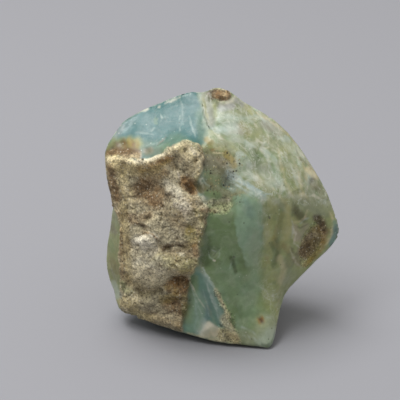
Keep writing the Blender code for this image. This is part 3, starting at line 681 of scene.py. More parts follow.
    ("stain", 0.4, 4, 5, 0.4, [(148, 318), (164, 326), (178, 330)]),
    ("stain", 0.7, 3.0, 4, 0.2, [(184, 308), (184, 322)]),
    ("sand", 0.75, 6, 6, 0.3, [(124, 301), (134, 306)]),
    ("cream", 0.4, 1.6, 2, 0.4, [(128, 304), (131, 308)]),
    ("stain", 0.7, 3, 4, 0.3, [(132, 313), (144, 318)]),
    ("grey", 0.7, 1.6, 2, 0.1, [(123, 313), (128, 315)]),
    # painted light: paler sand down the crust's left edge, against the shade where the light grazes
    # it
    ("sand", 0.7, 4, 5, 0.2, [(123, 206), (125, 230), (126, 255), (130, 278)]),
    ("rust", 0.5, 1.2, 2, 0.5, [(120, 228), (121, 245), (121.5, 262), (124, 284)]),
    ("umber", 0.6, 0.8, 1.3, 0.5, [(122, 232), (123, 250), (124.5, 268), (128, 280)]),
    ("ash", 0.5, 9, 8, 0.2, [(134, 300), (150, 316), (168, 322)]),
    ("ochre", 0.5, 4, 5, 0.4, [(162, 300), (176, 296)]),
    ("sand", 0.6, 4, 5, 0.4, [(128, 304), (136, 312), (150, 318)]),
    ("cream", 0.5, 1.4, 2, 0.5, [(140, 292), (152, 290), (162, 286)]),
    ("umber", 0.8, 0.8, 1.2, 0.2, [(150, 312), (156, 314)]),
    ("umber", 0.8, 0.8, 1.2, 0.2, [(168, 312), (176, 310)]),
    ("umber", 0.7, 1.0, 1.4, 0.3, [(138, 284), (141, 292)]),
    # olive side
    ("sage", 0.5, 3, 4, 0.2, [(112, 212), (115, 222)]),
    ("grey", 0.7, 3, 3, 0.3, [(111, 226), (115, 232)]),
    ("moss", 0.5, 3, 4, 0.2, [(110, 240), (113, 250)]),
    ("brown", 0.4, 4, 5, 0.2, [(112, 262), (117, 272)]),
    ("milk", 0.5, 3.5, 4, 0.1, [(113, 284), (118, 296)]),
    ("stain", 0.3, 6, 6, 0.3, [(112, 222), (113, 250), (116, 276)]),
    ("straw", 0.6, 0.8, 1.2, 0.3, [(109.5, 262), (110, 268)]),
    ("moss", 0.6, 3.5, 4, 0.3, [(122, 284), (130, 292)]),
    # knob on top, and the green side below it
    ("brown", 0.95, 4.8, 3, 0.2, [(215, 94.5), (226, 95)]),
    ("umber", 0.5, 4.6, 3, 0.4, [(212, 95), (227, 95)]),
    ("rust", 0.5, 3.0, 3.5, 0.4, [(216, 93), (226, 93)]),
    ("stain", 0.8, 2.6, 3, 0.3, [(209, 92), (213, 98)]),
    ("tan", 0.5, 2.0, 3, 0.4, [(218, 90.5), (226, 92)]),
    ("black", 0.7, 0.7, 1.0, 0.2, [(217, 95), (218, 96.5)]),
    ("black", 0.6, 0.7, 1.0, 0.2, [(222.5, 98), (224, 98.5)]),
    ("black", 0.75, 1.2, 1.3, 0.3, [(209, 93), (211, 94.5)]),
    ("umber", 0.8, 1.4, 1.6, 0.3, [(213.5, 92), (214, 98)]),
    ("umber", 0.8, 1.3, 1.6, 0.3, [(217, 101.5), (225, 99.5), (229, 96)]),
    ("straw", 0.3, 3.5, 3, 0.2, [(206, 98), (212, 106)]),
    # painted shadow just below the knob on top
    ("stain", 0.5, 4.0, 5, 0.2, [(211, 100), (217, 106)]),
    ("milk", 0.25, 2.0, 3, 0.1, [(204, 96), (209, 104)]),
    ("olive", 0.7, 2.4, 3, 0.1, [(214.5, 106), (215, 117)]),
    ("olive", 0.7, 2.0, 3, 0.1, [(203.5, 98), (206, 108)]),
    ("lilac", 0.85, 3.6, 4, 0.1, [(222, 108), (232, 106)]),
    ("chalk", 0.8, 1.5, 2, 0.1, [(225, 103.5), (233, 100), (236, 95.5)]),
    ("lilac", 0.7, 2.5, 3, 0.1, [(236, 100), (246, 107)]),
    ("straw", 0.5, 2.5, 3, 0.1, [(246, 107), (252, 112)]),
    ("frost", 0.35, 2.6, 4, 0.1, [(220, 118), (228, 116), (238, 119)]),
    ("frost", 0.45, 3.6, 5, 0.1, [(219, 129), (236, 127)]),
    ("slate", 0.35, 2.4, 4, 0.1, [(219, 123), (236, 123)]),
    ("sea green", 0.3, 4, 5, 0.0, [(220, 124), (232, 122)]),
    ("milk", 0.4, 0.9, 1.4, 0.2, [(203.5, 101), (205, 112), (208, 122), (214, 131), (221, 135)]),
    ("milk", 0.4, 0.8, 1.3, 0.2, [(206, 108), (209, 119), (216, 128), (228, 136)]),
    ("milk", 0.3, 0.7, 1.2, 0.2, [(216, 110), (224, 117), (236, 118)]),
    ("milk", 0.3, 0.7, 1.2, 0.2, [(214, 116), (222, 124), (236, 130)]),
    ("milk", 0.25, 2.2, 4, 0.2, [(228, 138), (244, 142), (256, 144)]),
    ("milk", 0.3, 2.2, 4, 0.1, [(242, 118), (252, 122)]),
    ("brown", 0.4, 2.5, 3.5, 0.1, [(240, 126), (241, 133)]),
    ("olive", 0.4, 3, 4, 0.0, [(250, 134), (256, 136)]),
    ("grey", 0.4, 4, 5, 0.1, [(262, 124), (272, 128)]),
    ("moss", 0.8, 5.5, 7, 0.1, [(253, 156), (261, 158)]),
    ("dark moss", 0.3, 3, 4, 0.1, [(254, 154), (257, 159)]),
    ("moss", 0.5, 4, 5, 0.1, [(243, 160), (240, 172)]),
    ("moss", 0.35, 3.5, 5, 0.1, [(256, 164), (254, 172)]),
    ("moss", 0.35, 2.5, 4, 0.1, [(271, 163), (274, 173)]),
    ("milk", 0.5, 4.5, 6, 0.2, [(262, 170), (270, 180), (276, 184)]),
    ("straw", 0.4, 5, 7, 0.1, [(284, 150), (292, 146)]),
    ("olive", 0.5, 3, 5, 0.1, [(286, 144), (292, 156)]),
    ("chalk", 0.55, 0.8, 1.2, 0.5, [(257, 140), (263, 143), (267, 141)]),
    ("chalk", 0.5, 0.8, 1.2, 0.5, [(260, 147), (266, 148.5), (271, 146)]),
    ("chalk", 0.45, 0.7, 1.2, 0.5, [(268, 139), (269, 144), (274, 147)]),
    ("chalk", 0.4, 0.7, 1.2, 0.5, [(272, 149), (277, 152), (279, 156)]),
    ("milk", 0.35, 1.6, 2.5, 0.4, [(262, 143), (270, 146)]),
    ("chalk", 0.4, 0.7, 1.2, 0.5, [(279, 139), (276, 143), (279, 146)]),
    ("chalk", 0.4, 0.7, 1.2, 0.5, [(252, 145), (257, 149), (256, 153)]),
    ("milk", 0.5, 1.0, 1.5, 0.3, [(248, 143), (256, 147)]),
    ("cream", 0.6, 1.3, 1.8, 0.3, [(256, 112), (266, 118), (279, 127), (290, 136), (298, 146)]),
    ("umber", 0.7, 0.5, 0.8, 0.0, [(281, 125.5), (290, 134.5), (300, 148), (307, 159)]),
    ("chalk", 0.5, 1.6, 2, 0.5, [(298, 150), (303, 156)]),
    ("umber", 0.4, 1.0, 1.5, 0.5, [(296, 150), (301, 160), (306, 163)]),
    ("olive", 0.5, 3, 4, 0.2, [(302, 166), (303, 178)]),
    ("milk", 0.35, 1.1, 2, 0.1, [(280, 160), (278, 172), (283, 186), (288, 196)]),
    ("milk", 0.35, 1.1, 2, 0.1, [(290, 162), (294, 176), (300, 192), (306, 204)]),
    ("straw", 0.3, 1.3, 2, 0.1, [(286, 168), (290, 186), (296, 204)]),
    ("cream", 0.8, 3.6, 3.5, 0.3, [(309, 170), (316, 176)]),
    ("rust", 0.5, 1.5, 2.5, 0.3, [(309, 165), (311, 168)]),
    ("grey", 0.7, 3, 3.5, 0.3, [(312, 181), (314, 187)]),
    ("chalk", 0.7, 1.2, 1.4, 0.5, [(308, 196), (314, 195), (322, 200)]),
    ("grey", 0.3, 4, 6, 0.3, [(320, 188), (326, 202)]),
    ("dark moss", 0.35, 3.5, 5, 0.0, [(253, 150), (257, 159)]),
    ("sage", 0.5, 3.5, 5, 0.0, [(262, 168), (271, 180)]),
    ("olive", 0.6, 4.0, 5, 0.0, [(283, 172), (289, 181), (298, 190)]),
    ("moss", 0.4, 2.6, 4, 0.0, [(272, 156), (276, 170), (282, 180)]),
    ("cream", 0.4, 1.4, 3, 0.2, [(279, 152), (281, 166), (286, 182), (292, 196)]),
    ("cream", 0.4, 1.6, 3, 0.2, [(296, 166), (301, 182), (304, 196)]),
    ("sand", 0.5, 1.6, 2.5, 0.2, [(303, 163), (306, 172), (307, 182)]),
    ("grey", 0.45, 3.2, 4, 0.1, [(314, 181), (318, 189)]),
    ("lilac", 0.4, 5.0, 6, 0.1, [(265, 123), (278, 132)]),
    ("tan", 0.2, 4.0, 5, 0.1, [(239, 126), (247, 133)]),
    # painted shade: the slate and grey strip just past the ridge beside the blue face
    ("slate", 0.6, 4.5, 5, 0.1, [(205, 95), (208, 110), (211, 124)]),
    ("grey", 0.6, 4.5, 5, 0.1, [(206, 95), (208, 110), (211, 122)]),
    ("straw", 0.4, 1.2, 2, 0.3, [(203, 99), (206, 112), (209, 122)]),
    ("umber", 0.45, 5, 3, 0.3, [(212, 94), (226, 95)]),
    ("rust", 0.35, 3, 3, 0.4, [(217, 95), (225, 94)]),
    ("black", 0.7, 1.2, 1.4, 0.3, [(210, 93), (214, 92)]),
    ("black", 0.7, 0.9, 1.2, 0.3, [(213, 96), (216, 97)]),
    ("dark moss", 0.4, 4, 5, 0.1, [(254, 152), (258, 160)]),
    ("cream", 0.6, 3.5, 4, 0.1, [(302, 196), (307, 202)]),
    ("sage", 0.7, 3, 4, 0.1, [(298, 198), (308, 202)]),
    ("stain", 0.3, 4, 5, 0.2, [(212, 146), (222, 148)]),
    ("milk", 0.35, 7, 8, 0.2, [(222, 112), (232, 124), (236, 136)]),
    ("milk", 0.5, 1.4, 2.4, 0.2, [(233, 112), (244, 118), (256, 116), (268, 122)]),
    ("dark moss", 0.25, 4, 5, 0.1, [(245, 146), (250, 156), (256, 162)]),
    ("milk", 0.45, 1.8, 3, 0.2, [(262, 146), (268, 158), (272, 172)]),
    ("moss", 0.4, 3, 4, 0.1, [(284, 174), (292, 184)]),
    # stained band beside the knob
    ("grey", 0.6, 9, 9, 0.3, [(206, 158), (222, 164), (224, 174)]),
    ("olive", 0.6, 5, 6, 0.2, [(206, 149), (218, 150)]),
    ("stain", 0.4, 3, 4, 0.5, [(208, 152), (220, 154)]),
    ("ochre", 0.75, 3, 3.5, 0.3, [(207, 140), (211, 143)]),
    ("olive", 0.6, 3, 4, 0.3, [(212, 146), (224, 149)]),
    ("brown", 0.4, 1.4, 2, 0.5, [(209, 149), (216, 152)]),
    ("rust", 0.5, 1.2, 1.6, 0.5, [(213, 150), (219, 148)]),
    ("cream", 0.6, 0.8, 1.2, 0.5, [(213, 153), (225, 153)]),
    ("ochre", 0.85, 3.6, 4, 0.25, [(226, 154), (231, 159), (234, 165)]),
    ("umber", 0.35, 1.6, 2, 0.6, [(226, 158), (231, 164)]),
    ("brown", 0.5, 2.6, 3.5, 0.5, [(218, 158), (224, 163)]),
    ("stain", 0.6, 3.0, 4, 0.4, [(216, 166), (224, 170)]),
    ("grey", 0.6, 6, 7, 0.3, [(204, 162), (220, 162)]),
    ("moss", 0.4, 4, 6, 0.2, [(206, 174), (218, 180)]),
    ("cream", 0.6, 0.6, 1.0, 0.4, [(214, 152), (223, 153)]),
    ("black", 0.75, 0.8, 1.1, 0.0, [(218.3, 166), (218.6, 167.3)]),
    ("black", 0.6, 0.7, 1.0, 0.0, [(214, 160), (214.6, 161)]),
    ("black", 0.7, 0.8, 1.1, 0.0, [(212, 173.6), (212.5, 174.4)]),
    ("black", 0.7, 1.0, 1.3, 0.0, [(227.3, 177), (228, 178.6)]),
    ("black", 0.5, 0.7, 1.0, 0.0, [(206, 169), (206.5, 170)]),
    # blue-white vein
    ("milk", 0.4, 0.8, 1.1, 0.3, [(201, 176), (206, 184), (211, 187)]),
    ("slate", 0.5, 3.5, 5, 0.2, [(226, 178), (234, 186), (240, 190)]),
    ("frost", 0.6, 2.4, 4, 0.3, [(228, 172), (238, 180), (248, 186), (258, 192)]),
    ("frost", 0.5, 3.5, 4, 0.2, [(252, 192), (262, 196)]),
    ("frost", 0.75, 1.3, 1.6, 0.3, [(248, 185), (256, 191), (263, 194.5), (272, 194)]),
    ("frost", 0.5, 0.9, 1.3, 0.3, [(232, 171), (243, 180), (254, 186)]),
    ("frost", 0.45, 0.8, 1.2, 0.4, [(225, 176), (236, 184), (246, 192), (254, 198)]),
    ("dark moss", 0.65, 2.8, 3, 0.3, [(222, 186), (230, 189)]),
    ("black", 0.4, 1.2, 1.6, 0.4, [(226, 187), (232, 191)]),
    ("chalk", 0.6, 0.8, 1.0, 0.5, [(223, 183), (228, 186)]),
    ("frost", 0.7, 1.2, 2, 0.3, [(226, 175), (240, 182), (252, 189), (263, 196)]),
    ("frost", 0.8, 1.0, 1.6, 0.3, [(234, 179), (248, 185), (267, 194)]),
    ("milk", 0.6, 0.8, 1.4, 0.3, [(230, 182), (242, 188), (256, 196)]),
    ("milk", 0.8, 1.6, 2, 0.2, [(248, 188), (258, 192), (262, 197)]),
    ("slate", 0.6, 3.0, 3, 0.2, [(224, 184), (233, 190)]),
    # tongue of sandy crust
    ("ash", 0.5, 6, 4, 0.5, [(204, 206), (216, 206), (228, 203)]),
    ("olive", 0.35, 4, 5, 0.4, [(210, 202), (224, 206)]),
    ("moss", 0.85, 4, 3.5, 0.2, [(208, 194), (217, 195)]),
    ("brown", 0.6, 2.5, 3, 0.5, [(202, 210), (214, 211)]),
    ("umber", 0.4, 1.6, 2, 0.6, [(204, 216), (206, 226)]),
    # middle and lower green side
    ("sage", 0.4, 9, 9, 0.0, [(262, 322), (272, 328)]),
    ("sage", 0.45, 6, 7, 0.1, [(234, 334), (246, 338)]),
    ("lime", 0.3, 9, 10, 0.0, [(254, 250), (258, 276), (264, 300)]),
    ("teal", 0.5, 8, 9, 0.0, [(246, 204), (247, 226), (250, 244)]),
    ("teal", 0.5, 6, 9, 0.0, [(256, 206), (257, 224), (257, 244), (254, 264), (256, 288)]),
    ("sage", 0.3, 5, 8, 0.0, [(256, 234), (256, 262)]),
    ("pale blue", 0.35, 4, 7, 0.0, [(246, 200), (250, 214)]),
    ("sage", 0.65, 7, 9, 0.1, [(276, 205), (290, 204), (312, 207), (324, 212)]),
    ("moss", 0.5, 2.5, 3, 0.1, [(233, 199), (234, 214)]),
    ("straw", 0.35, 3.5, 5, 0.2, [(288, 222), (290, 234), (286, 244)]),
    ("straw", 0.35, 5, 6, 0.1, [(271, 203), (276, 210)]),
    ("straw", 0.4, 5, 6, 0.1, [(286, 202), (288, 208)]),
    ("sage", 0.5, 6, 7, 0.1, [(310, 205), (316, 210)]),
    ("stain", 0.3, 2, 4, 0.2, [(280, 206), (281, 218), (276, 230)]),
    ("stain", 0.3, 2, 4, 0.2, [(294, 205), (296, 214)]),
    ("sage", 0.3, 2.5, 5, 0.1, [(266, 208), (268, 226), (266, 246)]),
    ("moss", 0.4, 4, 7, 0.1, [(270, 246), (274, 262)]),
    ("sage", 0.35, 6, 8, 0.2, [(280, 276), (286, 286), (278, 300)]),
    ("moss", 0.5, 6, 8, 0.0, [(230, 216), (222, 246)]),
    ("moss", 0.5, 2.5, 3.5, 0.1, [(260, 214), (262, 222)]),
    ("olive", 0.4, 5, 7, 0.0, [(270, 206), (276, 222)]),
    ("straw", 0.35, 1.5, 3, 0.1, [(283, 214), (279, 224), (275, 238)]),
    ("straw", 0.5, 2.5, 4, 0.1, [(290, 218), (288, 232), (284, 240)]),
    ("ochre", 0.35, 3.5, 5, 0.3, [(274, 243), (282, 245)]),
    ("ochre", 0.3, 4.5, 6, 0.1, [(280, 228), (277, 236)]),
    ("black", 0.9, 0.9, 1.1, 0.0, [(268.8, 216.8), (270, 218)]),
    ("stain", 0.6, 4.5, 5, 0.3, [(297, 213), (303, 218)]),
    ("ash", 0.45, 0.9, 1.4, 0.4, [(291, 221), (296, 228), (297, 236), (302, 242)]),
    ("ash", 0.45, 0.9, 1.4, 0.4, [(299, 221), (305, 225), (303, 233), (298, 238)]),
    ("ash", 0.6, 3.0, 4, 0.3, [(294, 226), (298, 238), (306, 226)]),
    ("stain", 0.5, 0.8, 1.3, 0.3, [(292, 224), (300, 228), (308, 224)]),
    ("grey", 0.4, 5, 6, 0.2, [(288, 264), (300, 258)]),
    ("brown", 0.85, 8, 6, 0.2, [(306, 251), (311, 241), (317, 233)]),
    ("grey", 0.4, 4, 6, 0.4, [(304, 242), (309, 234)]),
    ("umber", 0.6, 6, 6, 0.5, [(304, 251), (313, 240)]),
    ("stain", 0.5, 5, 5, 0.5, [(312, 250), (318, 238)]),
    ("black", 0.45, 2.5, 3, 0.6, [(303, 254), (307, 246)]),
    ("ash", 0.35, 1.8, 2.5, 0.6, [(306, 240), (312, 235), (318, 234)]),
    ("ochre", 0.7, 2.6, 3, 0.6, [(325, 240), (318, 251), (310, 260)]),
    ("umber", 0.85, 4.2, 4, 0.3, [(317, 218), (322, 223), (326, 230)]),
    ("black", 0.5, 1.8, 2.5, 0.5, [(322, 222), (325, 227)]),
    ("umber", 0.4, 2.5, 4, 0.4, [(308, 236), (310, 252)]),
    ("rust", 0.7, 2.6, 3, 0.5, [(325, 234), (322, 246)]),
    ("ochre", 0.85, 2.2, 2.5, 0.4, [(323, 248), (314, 258), (305, 265)]),
    ("cream", 0.8, 1.5, 1.8, 0.2, [(330, 212), (334, 222), (331, 236), (325, 246)]),
    # the thin right tip: teal opal, brightened as painted light shining through it
    ("teal", 0.9, 2.6, 2.5, 0.0, [(335, 222), (336.5, 234), (331, 245)]),
    ("chalk", 0.5, 0.6, 0.9, 0.2, [(335, 243), (320, 259), (300, 279), (287, 293)]),
    ("sage", 0.4, 5, 6, 0.1, [(286, 280), (294, 276)]),
    ("moss", 0.5, 7, 8, 0.0, [(214, 272), (228, 282), (238, 300)]),
    # painted shadow in the gap along the crust's right border
    ("dark moss", 0.75, 5.5, 6, 0.1, [(205, 240), (205, 262)]),
    ("teal", 0.3, 8, 9, 0.0, [(246, 296), (250, 312)]),
    ("olive", 0.25, 7, 9, 0.0, [(270, 286), (272, 306)]),
    ("milk", 0.4, 0.8, 1.2, 0.4, [(208, 251), (210, 257), (214, 260.5)]),
    ("milk", 0.3, 0.8, 1.2, 0.4, [(217, 259), (219.5, 255), (219, 250)]),
    ("sage", 0.3, 3.0, 4, 0.2, [(213, 252), (216, 256)]),
    ("milk", 0.4, 0.7, 1.0, 0.3, [(212, 250), (217, 252)]),
    ("chalk", 0.8, 0.9, 1.1, 0.0, [(213.5, 260.5), (215, 261)]),
    ("dark moss", 0.75, 2.0, 2.5, 0.2, [(231, 258), (234, 266), (235.5, 272)]),
    ("black", 0.8, 0.8, 1.0, 0.0, [(234, 256.5), (234.8, 257)]),
    ("milk", 0.35, 0.7, 1.2, 0.1, [(232, 262), (229, 270)]),
    # painted light: the thin bottom right corner glows pale where light shines through it
    ("sage", 0.6, 10, 10, 0.0, [(252, 338), (266, 334), (272, 326)]),
    ("milk", 0.4, 6, 7, 0.0, [(262, 342), (271, 334)]),
    ("sage", 0.4, 6, 7, 0.1, [(242, 336), (248, 342)]),
    ("milk", 0.5, 0.6, 1.0, 0.2, [(238, 325), (248, 330), (256, 334)]),
    ("milk", 0.4, 0.6, 1.0, 0.2, [(242, 335), (262, 341)]),
    # painted light: the bright rim of the thin bottom corner
    ("milk", 0.7, 1.4, 2, 0.0, [(275.5, 328), (274, 340), (269, 347)]),
    ("straw", 0.25, 6.0, 2.5, 0.0, [(261, 321), (261.1, 321)]),
    ("ochre", 0.8, 3.8, 2.0, 0.0, [(261, 320.5), (261.1, 320.5)]),
    ("rust", 0.8, 2.8, 1.6, 0.0, [(261, 320.5), (261.1, 320.5)]),
    ("umber", 0.95, 2.0, 1.4, 0.0, [(260.8, 320.3), (261.2, 320.3)]),
    ("black", 0.6, 1.0, 1.2, 0.0, [(260.8, 320.3), (261.2, 320.3)]),
    ("cream", 0.35, 1.4, 2.5, 0.1, [(273, 188), (281, 198), (287, 206), (287, 219)]),
    ("olive", 0.5, 2.5, 4, 0.0, [(281, 212), (280, 228), (276, 246)]),
    ("sage", 0.4, 1.4, 2.5, 0.1, [(263, 194), (263.5, 214), (263, 238)]),
    ("stain", 0.5, 4.5, 5, 0.1, [(295, 210), (300, 217)]),
    ("cream", 0.55, 1.1, 2, 0.1, [(291, 222), (299, 222), (305, 218), (307, 210)]),
    ("cream", 0.5, 1.4, 2.4, 0.1, [(292, 228), (293, 238), (299, 243)]),
    ("ash", 0.7, 3.4, 4, 0.1, [(295, 228), (298, 238)]),
    ("milk", 0.5, 1.2, 2, 0.2, [(291, 218), (293, 228), (292, 238)]),
    ("milk", 0.5, 1.0, 1.8, 0.2, [(300, 224), (304, 220), (309, 218)]),
    # painted light: pale glow through the thin right tip
    ("pale blue", 0.75, 3.5, 3, 0.0, [(338, 226), (336, 234), (332, 242)]),
    ("ochre", 0.5, 1.6, 2.5, 0.3, [(330, 226), (326, 240), (318, 252)]),
    ("moss", 0.5, 2.6, 3, 0.0, [(281, 210), (280, 226), (277, 240)]),
    ("straw", 0.5, 2.2, 3, 0.0, [(287, 206), (288, 222), (286, 238)]),
    ("stain", 0.4, 2.0, 3, 0.1, [(276, 240), (279, 250), (276, 262)]),
    ("straw", 0.4, 2.4, 4, 0.0, [(270, 222), (269, 240), (270, 256)]),
    ("ochre", 0.4, 1.6, 2.5, 0.3, [(266, 256), (268, 262)]),
    ("sage", 0.5, 3, 4, 0.1, [(284, 262), (288, 272), (284, 282)]),
    ("brown", 0.35, 3, 4, 0.4, [(284, 246), (292, 256), (298, 264)]),
    ("chalk", 0.35, 1.2, 2, 0.4, [(290, 250), (296, 262), (302, 268)]),
    ("sage", 0.6, 2.2, 3, 0.1, [(271, 196), (280, 203), (286, 212)]),
    ("ochre", 0.3, 3.0, 4, 0.1, [(282, 214), (280, 226), (275, 238)]),
    ("straw", 0.6, 2.4, 3, 0.0, [(288, 210), (290, 224), (288, 236)]),
    ("dark moss", 0.4, 2.4, 3, 0.1, [(272, 244), (277, 254), (273, 266)]),
    ("cream", 0.4, 3.0, 4, 0.1, [(280, 258), (284, 270), (280, 282)]),
    ("straw", 0.4, 2.4, 4, 0.1, [(266, 226), (266, 246)]),
    ("chalk", 0.5, 1.0, 1.6, 0.3, [(292, 226), (296, 234), (294, 243), (300, 248)]),
    ("umber", 0.5, 1.6, 2.4, 0.3, [(291, 247), (297, 256)]),
    ("lime", 0.5, 5, 6, 0.0, [(270, 290), (268, 306)]),
    # blue strip and cream ridge
    ("moss", 0.8, 4.0, 5, 0.1, [(194, 278), (193, 300), (189, 320)]),
    ("dark moss", 0.4, 3.0, 4, 0.1, [(190, 284), (190, 306)]),
    ("milk", 0.3, 2.4, 4, 0.3, [(203, 272), (210, 288), (216, 306), (222, 322)]),
    ("pale blue", 0.6, 4, 6, 0.2, [(204, 296), (208, 312), (206, 322)]),
    ("milk", 0.35, 0.8, 1.3, 0.5, [(203, 290), (207, 304), (209, 316)]),
    ("milk", 0.35, 0.8, 1.3, 0.5, [(210, 292), (216, 306), (218, 318)]),
    ("milk", 0.5, 0.9, 1.4, 0.4, [(207, 284), (211, 298), (217, 312)]),
    ("sage", 0.8, 4, 3, 0.3, [(206, 334), (202, 329), (208, 325), (217, 333)]),
    ("chalk", 0.9, 5, 3.5, 0.35, [(205, 333), (208, 327), (214, 331)]),
    ("sage", 0.5, 3, 3, 0.5, [(206, 334), (214, 330)]),
    ("milk", 0.6, 4, 5, 0.3, [(199, 331), (203, 322)]),
    ("teal", 0.45, 7, 7, 0.1, [(192, 326), (196, 312), (200, 300)]),
    ("milk", 0.7, 1.4, 2.0, 0.3, [(203, 268), (208, 278), (216, 291)]),
    ("cream", 0.7, 2.0, 2.2, 0.5, [(216, 290), (222, 303), (229, 317)]),
    ("cream", 0.6, 4, 3.5, 0.3, [(224, 318), (229, 328), (235, 340)]),
    ("sand", 0.7, 6, 5, 0.3, [(222, 334), (234, 340)]),
    ("cream", 0.5, 1.5, 2, 0.3, [(230, 322), (238, 338)]),
    ("cream", 0.6, 1.2, 1.5, 0.2, [(180, 331), (205, 338), (230, 343)]),
    ("milk", 0.5, 0.9, 1.4, 0.2, [(190, 284), (196, 300), (203, 318)]),
    ("chalk", 0.5, 0.8, 1.2, 0.3, [(188, 278), (197, 296), (206, 310)]),
    ("frost", 0.4, 1.2, 2, 0.2, [(195, 302), (197, 318), (194, 330)]),
    ("teal", 0.4, 5, 6, 0.1, [(196, 296), (200, 312), (198, 324)]),
    ("olive", 0.3, 3, 4, 0.2, [(184, 296), (186, 316)]),
    ("cream", 0.45, 5, 6, 0.3, [(212, 337), (222, 338)]),
    # last touches over the others: the hollow, the knob, the strip, the swelling and the shelf
    ("umber", 0.6, 3.2, 3, 0.2, [(322, 224), (325, 231)]),
    ("black", 0.5, 2.0, 2.4, 0.3, [(318, 220), (324, 229)]),
    # painted shade on the knob's left side
    ("grey", 0.5, 2.4, 3, 0.3, [(174, 160), (178, 166)]),
    ("sage", 0.4, 1.2, 2, 0.2, [(205, 300), (212, 316), (217, 328)]),
    # painted highlight on the knob's lit right rim
    ("cream", 0.8, 2.4, 2.5, 0.1, [(196, 156), (199.5, 165), (197, 174)]),
    # painted light: the next two cream marks lighten the underside of the pale swelling against its
    # shade
    ("cream", 0.5, 8, 8, 0.2, [(138, 272), (150, 276)]),
    ("cream", 0.4, 5, 6, 0.2, [(130, 288), (134, 300)]),
    ("rust", 0.35, 4, 4, 0.3, [(176, 282), (184, 280)]),
    ("olive", 0.4, 3, 4, 0.2, [(202, 226), (201, 244)]),
    ("umber", 0.35, 4, 4, 0.3, [(110, 152), (122, 152), (136, 152)]),
    ("umber", 0.35, 5, 3, 0.3, [(212, 94), (226, 95)]),
    ("tan", 0.4, 4, 4, 0.3, [(144, 168), (156, 166)]),
    ("ash", 0.5, 5, 6, 0.2, [(194, 218), (197, 225)]),
]

# Borders and lines wander, and break up, by noise.
wander = np.stack([fractal(surface, 1.4 * MM, 3, seed) for seed in (20, 21)], axis=1)
broken = 0.5 + 0.5 * np.clip(2.2 * fractal(surface, 0.7 * MM, 3, 22), -1.0, 1.0)
patchy = 0.5 + 0.5 * np.clip(1.6 * fractal(surface, 2.0 * MM, 5, 34), -1.0, 1.0)
places = to_grid(surface)

# The hidden sides take the same run of colours: blue at the left, green at the right, milky veins.
swirl = fractal(surface, 9 * MM, 3, 23)
green_side = smooth_step(-5.0, 3.0, surface[:, 0] / MM + 5.0 * swirl)
blue_side = 1.0 - green_side
paint = daylight("slate") + green_side[:, None] * (daylight("sage") - daylight("slate"))


def lay(tone, share):
    """Lays a tone over the stone, as thickly as the share says."""
    global paint
    paint = paint + share[:, None] * (daylight(tone) - paint)


lay("moss", 0.55 * green_side * smooth_step(-0.1, 0.7, fractal(surface, 6 * MM, 3, 24)))
lay("teal", 0.6 * blue_side * smooth_step(-0.2, 0.8, fractal(surface, 7 * MM, 3, 25)))
lay("turquoise", 0.5 * blue_side * smooth_step(-0.3, 0.6, fractal(surface, 5 * MM, 4, 31)))
veins = 1.0 - smooth_step(0.0, 0.16, np.abs(fractal(surface, 8 * MM, 5, 26)))
lay("milk", 0.5 * veins * smooth_step(0.0, 0.7, fractal(surface, 6 * MM, 3, 32)))
lay("milk", 0.3 * smooth_step(0.2, 0.8, fractal(surface, 3 * MM, 4, 33)))
lay("straw", 0.5 * smooth_step(0.35, 0.8, fractal(surface, 5 * MM, 4, 27)))
lay("ochre", 0.7 * smooth_step(0.5, 0.9, fractal(surface, 4 * MM, 4, 28)))
# Along every ridge the opal is paler in broken patches: chips, and painted light where the thin
# edges let light through.
chips_and_edge_light = (1.0 - smooth_step(0.1 * MM, 0.55 * MM, from_ridge)) * smooth_step(0.35, 0.7, broken)
lay("chalk", 0.4 * chips_and_edge_light)
olive_spot = np.array((-18.0, 2.5, 11.0)) * MM
off_spot = np.linalg.norm(surface - olive_spot, axis=1) + 2.0 * MM * swirl
lay("olive", 0.9 * (1.0 - smooth_step(4.5 * MM, 8.5 * MM, off_spot)))

shares = []
for tone, strength, soft, border in AREAS:
    depth = inside_border(places + 2.5 * wander, border)
    shares.append(smooth_step(-0.5 * soft, 0.5 * soft, depth) * front)
    lay(tone, strength * shares[-1])
blue, upper, lower, tip = shares[:4]
stained = shares[6]


def clouds(size, seed, low, high):
    """Patches of about this size, drawn out down to the right, with curled edges."""
    drift = np.stack([fractal(surface, 1.6 * size, 2, seed + axis) for axis in (1, 2, 3)], axis=1)
    along = np.array((0.45, 0.0, -0.89))
    drawn = surface - 0.4 * (surface @ along)[:, None] * along
    return smooth_step(low, high, fractal(drawn + 0.6 * size * drift, size, 2, seed))


# Soft clouds in the opal: area, tone, strength, size in mm, seed, then where they start and fill.
for area, tone, strength, size, seed, low, high in (
    (upper, "olive", 0.3, 3.6, 40, -0.1, 0.4),
    (upper, "moss", 0.5, 2.8, 45, 0.1, 0.5),
    (upper, "milk", 0.6, 3.0, 50, 0.05, 0.5),
    (upper, "chalk", 0.35, 1.5, 55, 0.1, 0.5),
    (upper, "moss", 0.35, 1.4, 58, 0.15, 0.5),
    (lower, "teal", 0.4, 3.4, 60, 0.0, 0.5),
    (lower, "dark moss", 0.25, 2.2, 65, 0.15, 0.55),
    (tip, "straw", 0.45, 2.2, 70, 0.05, 0.45),
    (tip, "moss", 0.4, 2.6, 75, 0.1, 0.5),
    (blue, "pale blue", 0.15, 2.6, 80, 0.1, 0.6),
):
    lay(tone, strength * area * clouds(size * MM, seed, low, high))

# The crust has the colours of its rock.
opal_paint = paint.copy()
lay("ash", np.ones(len(surface)))
lay("tan", 0.4 * smooth_step(-0.4, 0.4, fractal(surface, 6 * MM, 3, 29)))
lay("brown", 0.3 * smooth_step(0.1, 0.8, fractal(surface, 3.5 * MM, 4, 30)))
paint = opal_paint + crust[:, None] * (paint - opal_paint)

